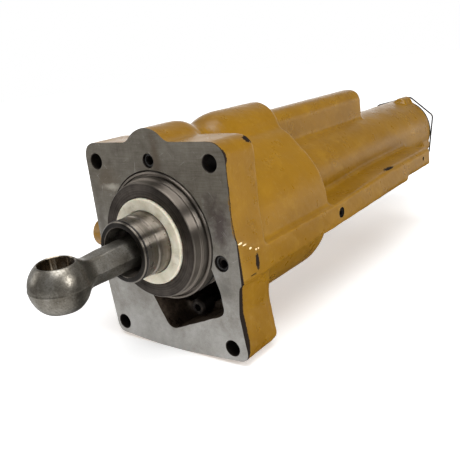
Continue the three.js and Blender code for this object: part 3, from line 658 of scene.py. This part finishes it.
def turned(name, profile, segments=128, soft=0.35):
    """A [radius, y] profile turned about the Y axis; it closes on itself unless it ends on the axis."""
    closed = profile[0][0] > AXIS
    vertices, rings = [], []
    for radius, y in softened(profile, soft, closed):
        if radius < AXIS:
            rings.append([len(vertices)] * segments)
            vertices.append((0.0, y, 0.0))
            continue
        rings.append(list(range(len(vertices), len(vertices) + segments)))
        for i in range(segments):
            angle = 2 * math.pi * i / segments
            vertices.append((radius * math.cos(angle), y, -radius * math.sin(angle)))
    faces = []
    for low, high in zip(rings, rings[1:] + rings[:1] if closed else rings[1:]):
        for i in range(segments):
            j = (i + 1) % segments
            corners = [low[i], low[j], high[j], high[i]]
            face = [c for n, c in enumerate(corners) if c != corners[n - 1]]
            if len(face) > 2:
                faces.append(face)
    return mesh_object(name, vertices, faces)


def place_at(thing, x=0.0, y=0.0, z=0.0, axis="Y"):
    """Turns a Y-axis piece to lie along another axis, moves it and keeps the place in its mesh."""
    thing.data.transform(Matrix.Translation(Vector((x, y, z)) * MM) @ AXIS_TURNS[axis])
    thing.data.update()
    return thing


def plain_rod(radius, start, end, segments=64, chamfer=0.0):
    """Cutting tool: a cylinder along Y, flared from y = 0 to its start when a chamfer is given."""
    profile = [(0, start), (radius, start), (radius, end), (0, end)]
    if chamfer:
        profile[1:2] = [(radius + chamfer - start, start), (radius + chamfer, 0), (radius, chamfer)]
    return turned("tool", profile, segments, soft=0.0)


def cut(thing, tool, operation="DIFFERENCE"):
    """Boolean that keeps the tool's material on the faces it leaves, and uses up the tool."""
    modifier = thing.modifiers.new("cut", "BOOLEAN")
    modifier.operation = operation
    modifier.solver = "MANIFOLD"
    modifier.object = tool
    modifier.material_mode = "TRANSFER"
    settle(thing)
    spent = tool.data
    bpy.data.objects.remove(tool)
    bpy.data.meshes.remove(spent)


def finish_piece(thing, material, body, node):
    if material is not None:
        thing.data.materials.clear()
        thing.data.materials.append(material)
    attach(thing, body)
    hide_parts(node)


# ---------- distance fields, for the castings and forgings ----------

def blend_min(a, b, reach):
    """The union of two solids with a fillet of about that reach where they meet."""
    mixed = np.clip(0.5 + 0.5 * (b - a) / reach, 0.0, 1.0)
    return b + mixed * (a - b) - reach * mixed * (1.0 - mixed)


def blend_max(a, b, reach):
    return -blend_min(-a, -b, reach)


def rounded_pair(a, b, radius):
    """The intersection of two solids with the corner between them rounded."""
    a, b = a + radius, b + radius
    return np.minimum(np.maximum(a, b), 0.0) + np.hypot(np.maximum(a, 0.0), np.maximum(b, 0.0)) - radius


def rounded_outline(points, steps=6):
    """A closed outline with rounded corners: each point is (across, up, corner radius)."""
    corners = [Vector(point[:2]) for point in points]
    result = []
    for i, corner in enumerate(corners):
        radius = points[i][2]
        if radius == 0:
            result.append(tuple(corner))
        else:
            after = corners[(i + 1) % len(corners)]
            result += corner_arc(corners[i - 1], corner, after, radius, 0.49, steps)
    return result


def outline_distance(across, up, outline):
    """Signed distance from a grid of points to a closed outline, negative inside."""
    nearest = np.full(np.broadcast(across, up).shape, 1e9, np.float32)
    inside = np.zeros(nearest.shape, bool)
    for (x0, y0), (x1, y1) in zip(outline, outline[1:] + outline[:1]):
        dx, dy = x1 - x0, y1 - y0
        t = np.clip(((across - x0) * dx + (up - y0) * dy) / (dx * dx + dy * dy + 1e-12), 0.0, 1.0)
        nearest = np.minimum(nearest, np.hypot(across - x0 - t * dx, up - y0 - t * dy))
        if y0 != y1:
            crosses = ((y0 > up) != (y1 > up)) & (across < (x1 - x0) * (up - y0) / (y1 - y0) + x0)
            inside ^= crosses
    return np.where(inside, -nearest, nearest).astype(np.float32)


def axis_grids(low, high, step):
    """The three coordinates of a block of points, ready to be broadcast together."""
    x, y, z = (np.arange(low[i], high[i], step, dtype=np.float32) for i in range(3))
    return x[:, None, None], y[None, :, None], z[None, None, :]


def field_mesh(name, field, low, step, keep_faces):
    """A mesh of a field's zero surface, thinned to about a number of triangles."""
    grid = vdb.FloatGrid()
    grid.background = 4.0
    grid.copyFromArray(np.ascontiguousarray(field, np.float32))
    points, triangles, quads = grid.convertToPolygons(0.0, 0.0)
    points = points * step + np.array(low)
    thing = mesh_object(name, points.tolist(), quads.tolist() + triangles.tolist(), 180.0)
    thin = thing.modifiers.new("thin", "DECIMATE")
    thin.ratio = keep_faces / (2 * len(quads) + len(triangles))
    settle(thing)
    return thing


# ---------- the casting ----------

FLANGE_OUTLINE = [
    (-75.2, 77.9, 15), (-75.2, -49, 40), (-71.4, -98.4, 9), (-8, -103.2, 400), (77.7, -97.8, 9),
    (72.8, -58, 25), (78.8, -14, 30), (76.6, 24, 40), (78.0, 77.9, 17),
]
POCKET_OUTLINE = [
    (-14, -40, 0), (-19.5, -54, 0), (-3.5, -85, 10), (58.6, -60.5, 8), (57.6, -42, 20), (49, -16, 0),
    (20, -20, 0),
]
RAIL_OUTLINE = [
    (-12, RAIL_LOW, 0), (RAIL_STEP, RAIL_LOW, 0), (RAIL_STEP + 3, RAIL_REAR_LOW, 0),
    (RAIL_END, RAIL_REAR_LOW, 0), (RAIL_END, -5.5, 0), (290, -5.5, 0), (170, RAIL_TOP, 0),
    (ROOT_END, RAIL_TOP, 0), (0, ROOT_TOP, 0), (-12, ROOT_TOP, 0),
]
# The top boss's radius along Y: a front bump, a dip behind the flange, a long rear hump.
BOSS_RADIUS = [
    (-10, 26.0), (36, 26.0), (43, 24.8), (50, 21.8), (57, 18.4), (62, 18.8), (69, 22.0), (78, 24.8),
    (90, 26.0), (150, 26.0), (170, 26.0),
]
# The steps of the fields in millimetres, and the triangles that are kept of each mesh.
CAST_STEP, CAST_FACES = 1.25, 150000
POCKET_FACES, ROD_STEP, ROD_FACES = 16000, 0.6, 90000


def casting_field(step):
    """Distance field of the raw casting, longer than the finished one wherever it will be machined."""
    low = (-104.0, -8.0, -110.0)
    x, y, z = axis_grids(low, (86.0, 520.0, 96.0), step)

    def bar(section, start, end, radius):
        """A section drawn across the axis, carried along Y with rounded ends."""
        return rounded_pair(section, np.abs(y - (start + end) / 2) - (end - start) / 2, radius)

    outline = outline_distance(x, z, rounded_outline(FLANGE_OUTLINE, 8))
    flange = bar(outline, -20.0, FLANGE_DEPTH, 2.2)
    low_half = bar(np.maximum(outline, z - FLANGE_LOW_TOP), -20.0, FLANGE_LOW_DEPTH, 2.2)
    flange = blend_min(flange, low_half, 2.0)

    drum = bar(np.hypot(x, z - MAIN_Z) - MAIN_RADIUS, 0.0, DRUM_END, DRUM_ROUND)
    lobe = bar(np.hypot(x - LOBE_X, z - LOBE_Z) - LOBE_RADIUS, 0.0, DRUM_END, DRUM_ROUND)
    boss_radius = smooth_curve(y, BOSS_RADIUS, 3.5)
    boss = rounded_pair(np.hypot(x, z - TOP_Z) - boss_radius, y - DRUM_END - 1.0, DRUM_ROUND)
    taper = np.interp(y, (150.0, BARREL_END), (BARREL_RADIUS + 1.0, BARREL_RADIUS)).astype(np.float32)
    barrel = np.maximum(np.hypot(x, z) - taper, 90.0 - y)

    rib_section = np.minimum(np.hypot(x, z - TOP_Z), np.where(z < TOP_Z, np.abs(x), 1e3)) - RIB_HALF
    rib_section = np.maximum(rib_section, 20.0 - z)
    rib = bar(rib_section, 110.0, RIB_END, 2.5)
    rib = blend_max(rib, rounded_pair(y - RIB_END, z - TOP_Z - RIB_HALF, RIB_ROUND), 3.0)

    rail_side = outline_distance(y, z, rounded_outline(RAIL_OUTLINE))
    rail_round = np.interp(y, (150.0, 300.0), (1.4, 6.5)).astype(np.float32)
    rail = rounded_pair(rail_side, np.abs(x - RAIL_X + 32.0) - 32.0, rail_round)

    port_boss = rounded_pair(np.hypot(y - PORT_BOSS_Y, z - PORT_BOSS_Z) - PORT_BOSS_RADIUS,
                             np.abs(x + 79.0) - 22.0, 1.5)

    parts = [(lobe, 4.0), (boss, 5.0), (barrel, 5.0), (rib, 5.0), (rail, 6.0)]
    for lug_x, lug_z in LUGS:
        lug = bar(np.hypot(x - lug_x, z - lug_z) - LUG_RADIUS, BARREL_END - 24.0, BARREL_END + 20.0, 3.0)
        parts.append((lug, 4.0))
    body = drum
    for part, fillet in [*parts, (flange, 4.0), (port_boss, 4.0)]:
        body = blend_min(body, part, fillet)

    waves = 0.16 * np.sin(0.21 * x + 0.4) * np.sin(0.17 * y + 1.3) * np.sin(0.19 * z + 0.7)
    waves = waves + 0.07 * np.sin(0.63 * x + 0.11 * y) * np.sin(0.57 * z + 0.52 * y + 2.0)
    body = np.maximum(body + waves + 0.05, x - RAIL_X)
    return np.maximum(body, FLANGE_BOTTOM - z), low


def pocket_tool():
    """The cast pocket in the flange: a shallow floor at the right, running back deeper under the bore."""
    step, low = 1.0, (-26.0, -6.0, -92.0)
    x, y, z = axis_grids(low, (66.0, 96.0, -10.0), step)
    outline = outline_distance(x, z, rounded_outline(POCKET_OUTLINE, 8))
    shallow = rounded_pair(outline, y - POCKET_DEPTH, 4.0)
    walls = blend_max(outline, np.hypot(x, z - MAIN_Z) - POCKET_WALL, 3.0)
    deep = rounded_pair(walls, y - POCKET_DEEP_END, 4.0)
    waves = 0.2 * np.sin(0.4 * x + 0.2 * y) * np.sin(0.31 * z + 0.4 * y)
    return field_mesh("tool", np.minimum(shallow, deep) + waves, low, step, POCKET_FACES)


def smooth_curve(at, knots, spread):
    """A curve through the knots with its corners eased over a distance."""
    places, values = zip(*knots)
    offsets = np.linspace(-spread, spread, 7)
    total = sum(np.interp(at + offset, places, values) for offset in offsets)
    return (total / len(offsets)).astype(np.float32)


def slab_tool(start, end, reach=120.0, cell=5.0):
    """A slab across Y whose faces are fine grids, so that no face left by a cut has a hole in it."""
    count = int(2 * reach / cell) + 1
    line = [-reach + cell * i for i in range(count)]
    vertices = [(x, y, z) for y in (start, end) for x in line for z in line]
    layer, last = count * count, count - 1
    faces = []
    for a in (i * count + j for i in range(last) for j in range(last)):
        faces.append((a, a + count, a + count + 1, a + 1))
        faces.append((layer + a, layer + a + 1, layer + a + count + 1, layer + a + count))
    rim = [i * count for i in range(last)] + [last * count + j for j in range(last)]
    rim += [i * count + last for i in range(last, 0, -1)] + list(range(last, 0, -1))
    for a, b in zip(rim, rim[1:] + rim[:1]):
        faces.append((a, layer + a, layer + b, b))
    return mesh_object("tool", vertices, faces)


def machine(thing, tool, material, x=0.0, y=0.0, z=0.0, axis="Y"):
    """Takes a tool's shape out of a casting or forging and leaves a material on the new faces."""
    place_at(tool, x, y, z, axis)
    tool.data.materials.clear()
    tool.data.materials.append(material)
    cut(thing, tool)


def straight_holes():
    """Each round hole: radius, start, end, sides, chamfer, place and axis."""
    top, side = (0, 0, TOP_Z), (SIDE_PORT_X, 0, SIDE_PORT_Z)
    front_cross, rear_cross = (RAIL_X, *CROSS_FRONT[:2]), (RAIL_X, *CROSS_REAR[:2])
    return [
        (COVER_BORE, WEB_REAR, BARREL_END + 9, 96, 0, (0, 0, 0), "Y"),
        *((BOLT_RADIUS, -3, 70, 64, 0.4, (x, 0, z), "Y") for x in (-BOLT_X, BOLT_X) for z in BOLT_Z),
        (5.75, -3, 3.4, 64, 0.3, top, "Y"),
        (3.5, 2, RIB_END - 5, 32, 0, top, "Y"),
        (PLUG_BORE, -PLUG_LENGTH - 1, 5, 48, 0, (0, RIB_END, TOP_Z), "Y"),
        (6.5, -3, 3.4, 64, 0.3, side, "Y"),
        (3.2, 2, RAIL_END - 5, 32, 0, (SIDE_PORT_X, 0, SIDE_PORT_Z - 1), "Y"),
        (PLUG_BORE, -PLUG_LENGTH - 1, 5, 48, 0, (SIDE_PORT_X, RAIL_END, SIDE_PORT_Z - GALLERY_DROP), "Y"),
        (3.0, 20, TOP_Z, 32, 0, (0, 172, 0), "Z"),
        (CROSS_FRONT[2], -12, 3, 48, 0, front_cross, "X"),
        (CROSS_REAR[2], -59, 3, 48, 0, rear_cross, "X"),
        (2.4, -21, -5, 24, 0, front_cross, "X"),
        (7.2, PORT_BOSS_X - 5, -52, 64, 0, (0, PORT_BOSS_Y, PORT_BOSS_Z), "X"),
        (5.3, 26, 43, 48, 0, (POCKET_PLUG_X, 0, POCKET_PLUG_Z), "Y"),
    ]


def main_bore():
    """Cutting tool: the gland's bore, the chamber behind it and the long barrel bore."""
    return turned("tool", [
        (0, -9), (BORE_RADIUS + 9.7, -9), (BORE_RADIUS + 0.7, 0), (BORE_RADIUS, 0.7),
        (BORE_RADIUS, BORE_DEPTH), (CHAMBER_RADIUS, BORE_DEPTH), (CHAMBER_RADIUS, CHAMBER_END - 12),
        (BARREL_BORE + 2, CHAMBER_END), (BARREL_BORE, CHAMBER_END + 4), (BARREL_BORE, WEB_FRONT),
        (0, WEB_FRONT),
    ], 160, soft=0.0)


def make_housing(materials):
    ground, bored = materials["ground"], materials["bore"]
    field, low = casting_field(CAST_STEP)
    housing = field_mesh("housing_casting", field, low, CAST_STEP, CAST_FACES)
    housing.data.materials.append(materials["paint"])

    machine(housing, slab_tool(-40, 0), ground)
    machine(housing, slab_tool(BARREL_END, BARREL_END + 60), ground)
    machine(housing, slab_tool(PORT_BOSS_X - 40, PORT_BOSS_X), ground, 0, PORT_BOSS_Y, PORT_BOSS_Z, "X")
    machine(housing, pocket_tool(), materials["inside"])
    machine(housing, main_bore(), bored)
    for radius, start, end, sides, chamfer, place, axis in straight_holes():
        machine(housing, plain_rod(radius, start, end, sides, chamfer), bored, *place, axis)
    shade_casting(housing)
    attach(housing, "cylinder_body")
    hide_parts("housing")


def shade_casting(housing):
    """Smooth cast skin, with sharp edges wherever a machined face meets it or another."""
    shade(housing, 42.0)
    mesh = bmesh.new()
    mesh.from_mesh(housing.data)
    for edge in mesh.edges:
        if len({face.material_index for face in edge.link_faces}) == 2:
            edge.smooth = False
    mesh.to_mesh(housing.data)
    mesh.free()


# ---------- gland, ram and the inner pieces ----------

def torus_profile(centre, section, y, sides=20):
    angles = [2 * math.pi * i / sides for i in range(sides)]
    return [(centre + section * math.cos(a), y + section * math.sin(a)) for a in angles]


def ring_profile(inner, outer, y0, y1):
    return [(inner, y0), (outer, y0), (outer, y1), (inner, y1)]


GLAND_PROFILE = [
    (36.3, -13.2), (47.4, -13.2), (48.4, -12.2), (48.4, -5.6), (49.0, -5.0), (50.2, -5.0), (50.2, 2.4),
    (52.4, 2.4), (52.4, -1.2), (53.7, -1.2), (54.3, -0.6), (54.3, 8), (50.6, 8), (50.6, 13), (54.3, 13),
    (54.3, 16), (50.6, 16), (50.6, 26), (54.3, 26), (54.3, 30), (34.6, 30), (34.6, 147), (31.8, 147),
    (31.8, 150.6), (34.6, 150.6), (34.6, 159), (33.6, 160), (28.6, 160), (28.6, 110), (27.5, 110),
    (27.5, 27.3), (33, 27.3), (33, 19.7), (27.5, 19.7), (27.5, -8.7), (36.3, -8.7),
]
RAM_PROFILE = [
    (0, 60), (20.2, 60), (20.2, -41.5), (21, -42.3), (23.5, -42.3), (24.9, -41.1), (24.9, -40.2),
    (23.4, -40.2), (23.4, -38.2), (24.9, -38.2), (24.9, -28.6), (24.1, -27.9), (24.1, -26.9), (25.2, -26.1),
    (25.6, -22), (26, -14), (26, 320), (20, 320), (20, 392.5), (19, 393.5), (14, 393.5), (14, 96), (0, 90),
]
PISTON_PROFILE = [
    (20.3, 354), (33.4, 354), (34.4, 355), (34.4, 356.2), (32.5, 356.2), (32.5, 360.8), (34.4, 360.8),
    (34.4, 363), (29.6, 363), (29.6, 369), (34.4, 369), (34.4, 371.2), (32.5, 371.2), (32.5, 375.8),
    (34.4, 375.8), (34.4, 377), (33.4, 378), (20.3, 378), (20.3, 367.6), (22.9, 367.6), (22.9, 364.2),
    (20.3, 364.2),
]
WIPER_PROFILE = [(26.3, -14.9), (26.9, -15.5), (35.2, -15.5), (36, -14.7), (36, -9), (26.3, -9)]
SEAL_PROFILE = [(26.3, 20), (32.7, 20), (32.7, 27), (31.1, 27), (29.5, 24), (27.9, 27), (26.3, 27)]
COVER_PROFILE = [
    (0, 502), (28, 502), (30, 494), (35, 494), (35.6, 494.6), (35.6, 500), (33, 500), (33, 504), (35.6, 504),
    (35.6, 510.3), (43.4, 510.3), (43.4, 511.8), (42.2, 511.8), (42.2, 514.6), (43.4, 514.6), (43.0, 516),
    (36.0, 516), (34.5, 514.4), (12.0, 514.4), (10.5, 515.4), (0, 515.6),
]


def seat_profile(rear):
    """A ball seat: a ring whose inside follows the ball's socket."""
    socket = 16.8
    hole = 5.0 if rear else 14.2
    depth = math.sqrt(socket ** 2 - hole ** 2)
    start, end = (depth, 2.0) if rear else (-2.0, -depth)
    arc = []
    for i in range(13):
        offset = start + (end - start) * i / 12
        arc.append((math.sqrt(socket ** 2 - offset ** 2), BALL_Y + offset))
    if rear:
        return arc + [(19.9, 37.0), (19.9, 59.7), (hole, 59.7)]
    return [(hole, 22.0), (19.9, 22.0), (19.9, 33.0)] + arc


def turned_pieces():
    """Each turned piece: its CAD node, profile, material, body and edge softening."""
    body, ram = "cylinder_body", "ram_body"
    return [
        ("gland", GLAND_PROFILE, "gland", body, 0.35),
        ("wiper_ring", WIPER_PROFILE, "nylon", body, 0.4),
        ("rod_seal", SEAL_PROFILE, "rubber", body, 0.4),
        ("gland_bush", ring_profile(26.3, 28.3, 110.3, 159.7), "bronze", body, 0.3),
        ("gland_o_ring", torus_profile(52.8, 1.8, 10.5), "rubber", body, 0.0),
        ("spigot_o_ring", torus_profile(33.4, 1.3, 148.8), "rubber", body, 0.0),
        ("ram", RAM_PROFILE, "ram", ram, 0.3),
        ("ram_clip", torus_profile(24.6, 0.8, -39.2), "wire", ram, 0.0),
        ("stop_collar", ring_profile(20.3, 30.5, 320.3, 353.7), "gland", ram, 0.8),
        ("piston", PISTON_PROFILE, "gland", ram, 0.3),
        ("piston_seal", ring_profile(29.9, 34.7, 363.3, 368.7), "rubber", ram, 0.6),
        ("piston_wear_ring_front", ring_profile(32.8, 34.7, 356.5, 360.5), "nylon", ram, 0.3),
        ("piston_wear_ring_rear", ring_profile(32.8, 34.7, 371.5, 375.5), "nylon", ram, 0.3),
        ("piston_o_ring", torus_profile(21.6, 1.05, 365.9), "rubber", ram, 0.0),
        ("ball_seat_rear", seat_profile(True), "bronze", ram, 0.2),
        ("ball_seat_front", seat_profile(False), "bronze", ram, 0.2),
        ("seat_nut", ring_profile(15.0, 19.9, 10.0, 21.7), "plug", ram, 0.5),
        ("rear_cover", COVER_PROFILE, "gland", body, 0.4),
        ("rear_cover_o_ring", torus_profile(34.5, 1.2, 502.0), "rubber", body, 0.0),
    ]


def make_turned_pieces(materials):
    for node, profile, kind, body, soft in turned_pieces():
        piece = turned(node + "_turned", profile, 128, soft)
        finish_piece(piece, materials[kind], body, node)


def make_piston_nut(materials, front=378.3, rear=392.0, corner=29.0):
    """An eight-sided nut with its corners turned off."""
    angles = [2 * math.pi * (i + 0.5) / 8 for i in range(8)]
    vertices = [(corner * math.cos(a), y, corner * math.sin(a)) for y in (front, rear) for a in angles]
    faces = [tuple(range(8)), tuple(range(15, 7, -1))]
    faces += [(i, i + 8, (i + 1) % 8 + 8, (i + 1) % 8) for i in range(8)]
    nut = mesh_object("piston_nut_turned", vertices, faces)
    rounder = turned("tool", [
        (0, front), (27.2, front), (29.5, front + 2.1), (29.5, rear - 2.2), (27.2, rear), (0, rear),
    ], 96, 0.0)
    cut(nut, rounder, "INTERSECT")
    cut(nut, plain_rod(20.3, front - 8.3, rear + 8.0, 96))
    shade(nut, 30.0)
    finish_piece(nut, materials["plug"], "ram_body", "piston_nut")


# ---------- the connecting rod ----------

def rod_field(step):
    """Forged rod: ball, neck, six-sided shank and flattened eye, with a trimmed flash line round it."""
    low = (-26.0, -ROD_REACH - 26.0, -21.0)
    x, y, z = axis_grids(low, (26.0, 20.0, 21.0), step)
    eye = np.sqrt(x * x + (y + ROD_REACH) ** 2 + z * z) - EYE_RADIUS
    eye = rounded_pair(eye, np.abs(z) - EYE_HALF, 0.4)
    ball = np.sqrt(x * x + y * y + z * z) - BALL_RADIUS
    half = smooth_curve(y, [(-150, 10.4), (-112, 10.6), (-96, 11.2), (-60, 11.6), (-44, 11.6),
                            (-32, ROD_NECK), (-8, ROD_NECK), (10, ROD_NECK)], 3.0)
    flats = np.maximum(np.abs(z), np.abs(x) * 0.866 + np.abs(z) * 0.5) - half
    round_bar = np.hypot(x, z) - half * 1.04
    forged = np.clip((-y - 34.0) / 12.0, 0.0, 1.0)
    shank = flats * forged + round_bar * (1.0 - forged)
    shank = blend_max(shank, np.hypot(x, z) - half * 1.12, 0.6)
    shank = np.maximum(shank, np.abs(y + ROD_REACH / 2) - ROD_REACH / 2)
    body = blend_min(eye, shank, 6.5)
    body = blend_min(body, ball, 1.5)
    flash = np.clip(1.0 - np.abs(z) / 0.9, 0.0, 1.0) * np.clip((-y - 40.0) / 10.0, 0.0, 1.0) * 0.35
    dents = 0.10 * np.sin(0.33 * x + 0.8) * np.sin(0.27 * y) * np.sin(0.31 * z + 1.1)
    return body - flash + dents * np.clip((-y - 30.0) / 10.0, 0.0, 1.0), low


# Too small a softening to show as a shape: it repeats the corner rings of the reamer, and the eye's
# bore gets its bright streaks from the way its wall is then shaded.
HIDDEN_SOFTENING = 1e-9


def make_rod(materials):
    field, low = rod_field(ROD_STEP)
    rod = field_mesh("connecting_rod_forged", field, low, ROD_STEP, ROD_FACES)
    rod.data.materials.append(materials["forged"])
    mouth = EYE_BORE + 0.6
    flare = mouth + 30 - EYE_HALF
    reamer = turned("tool", [
        (0, -30), (flare, -30), (mouth, -EYE_HALF), (EYE_BORE, -EYE_HALF + 0.6),
        (EYE_BORE, EYE_HALF - 0.6), (mouth, EYE_HALF), (flare, 30), (0, 30),
    ], 128, soft=HIDDEN_SOFTENING)
    machine(rod, reamer, materials["eye_bore"], 0, -ROD_REACH, 0, "Z")
    shade(rod, 38.0)
    turn = Matrix.Rotation(ROD_DROOP, 4, "X") @ Matrix.Rotation(ROD_ROLL, 4, "Y")
    rod.data.transform(Matrix.Translation(Vector((0, BALL_Y, 0)) * MM) @ turn)
    rod.data.update()
    finish_piece(rod, None, "rod_body", "connecting_rod")


# ---------- cover wire ----------

# Corners of the cover wire: distance from the axis and angle in degrees from +X towards +Z.
WIRE_CORNERS = [(51.8, 23.2), (50.0, 71.3), (50.5, 131.9), (50.5, 193.5), (50.5, 255.4), (52.9, 321.4)]


def make_cover_wire(materials, y=513.2, rounding=4.0):
    """A six-sided loop of spring wire round the rear cover's groove, with bent corners."""
    polar = [(reach, math.radians(angle)) for reach, angle in WIRE_CORNERS]
    corners = [Vector((reach * math.cos(a), y, reach * math.sin(a))) for reach, a in polar]
    route = []
    for before, corner, after in zip(corners[-1:] + corners[:-1], corners, corners[1:] + corners[:1]):
        start = corner + (before - corner).normalized() * rounding
        end = corner + (after - corner).normalized() * rounding
        route += bend(start, corner, end, 8)
    data = bpy.data.curves.new("cover_wire_bent", "CURVE")
    data.dimensions = "3D"
    data.bevel_depth = 1.0 * MM
    data.bevel_resolution = 4
    spline = data.splines.new("POLY")
    spline.points.add(len(route) - 1)
    for target, source in zip(spline.points, route):
        target.co = (*(source * MM), 1.0)
    spline.use_cyclic_u = True
    curve = new_object("cover_wire_curve", data)
    depsgraph = bpy.context.evaluated_depsgraph_get()
    mesh = bpy.data.meshes.new_from_object(curve.evaluated_get(depsgraph))
    bpy.data.objects.remove(curve)
    wire = new_object("cover_wire_bent", mesh)
    shade(wire, 60.0)
    finish_piece(wire, materials["wire"], "cylinder_body", "cover_wire")


# ---------- plugs and port seals ----------

def socket_plug(name, radius, length, key):
    """A screwed plug: threaded body, chamfered face at y = 0 and a hexagon socket in it."""
    pitch, root = 1.25, radius - 0.35
    profile = [(0, 0), (radius - 0.8, 0), (radius, 0.8)]
    y = 1.2
    while y + pitch < length - 1.0:
        profile += [(radius, y), (root, y + pitch / 2)]
        y += pitch
    profile += [(root, length - 0.8), (radius - 0.9, length), (0, length)]
    plug = turned(name, profile, 64, soft=0.12)
    depth = min(4.5, length / 2)
    cut(plug, turned("tool", [(0, -2), (key, -2), (key, depth), (0, depth + key * 0.4)], 6, 0.0))
    shade(plug, 30.0)
    return plug


def make_plugs(materials):
    sites = [
        ("top_gallery_plug", 4.9, PLUG_LENGTH, 2.6, (0, RIB_END - 0.4, TOP_Z), "-Y"),
        ("side_gallery_plug", 4.9, PLUG_LENGTH, 2.6,
         (SIDE_PORT_X, RAIL_END - 0.4, SIDE_PORT_Z - GALLERY_DROP), "-Y"),
        ("rail_plug_front", 4.95, 10.5, 2.9, (78.0, CROSS_FRONT[0], CROSS_FRONT[1]), "-X"),
        ("rail_plug_rear", 2.2, 9.0, 1.1, (78.2, CROSS_REAR[0], CROSS_REAR[1]), "-X"),
        ("port_plug", 6.9, 16.0, 4.0, (PORT_BOSS_X + 1.0, PORT_BOSS_Y, PORT_BOSS_Z), "X"),
    ]
    for node, radius, length, key, place, axis in sites:
        plug = place_at(socket_plug(node + "_screw", radius, length, key), *place, axis)
        finish_piece(plug, materials["plug"], "cylinder_body", node)

    head = turned("pocket_plug_screw", [
        (0, 17), (5.6, 17), (7.6, 18.6), (7.6, 30.7), (5, 30.7), (5, 42), (0, 42),
    ], 96, soft=0.6)
    cut(head, turned("tool", [(0, 10), (3.6, 10), (3.6, 22), (0, 23.4)], 6, 0.0))
    shade(head, 30.0)
    place_at(head, POCKET_PLUG_X, 0, POCKET_PLUG_Z)
    finish_piece(head, materials["plug"], "cylinder_body", "pocket_plug")

    for node, centre, section, y, x, z in (("top_port_seal", 4.6, 0.8, 2.3, 0.0, TOP_Z),
                                           ("side_port_seal", 5.3, 0.9, 2.2, SIDE_PORT_X, SIDE_PORT_Z)):
        seal = place_at(turned(node + "_ring", torus_profile(centre, section, y), 64, 0.0), x, 0, z)
        finish_piece(seal, materials["rubber"], "cylinder_body", node)


# ---------- build ----------

def main():
    bpy.context.scene.view_settings.view_transform = "Standard"
    make_camera()
    make_world()
    make_floor(cad_box[0][2])
    make_lights()
    materials = make_materials()
    for make in (make_housing, make_turned_pieces, make_piston_nut, make_rod, make_cover_wire, make_plugs):
        make(materials)


main()
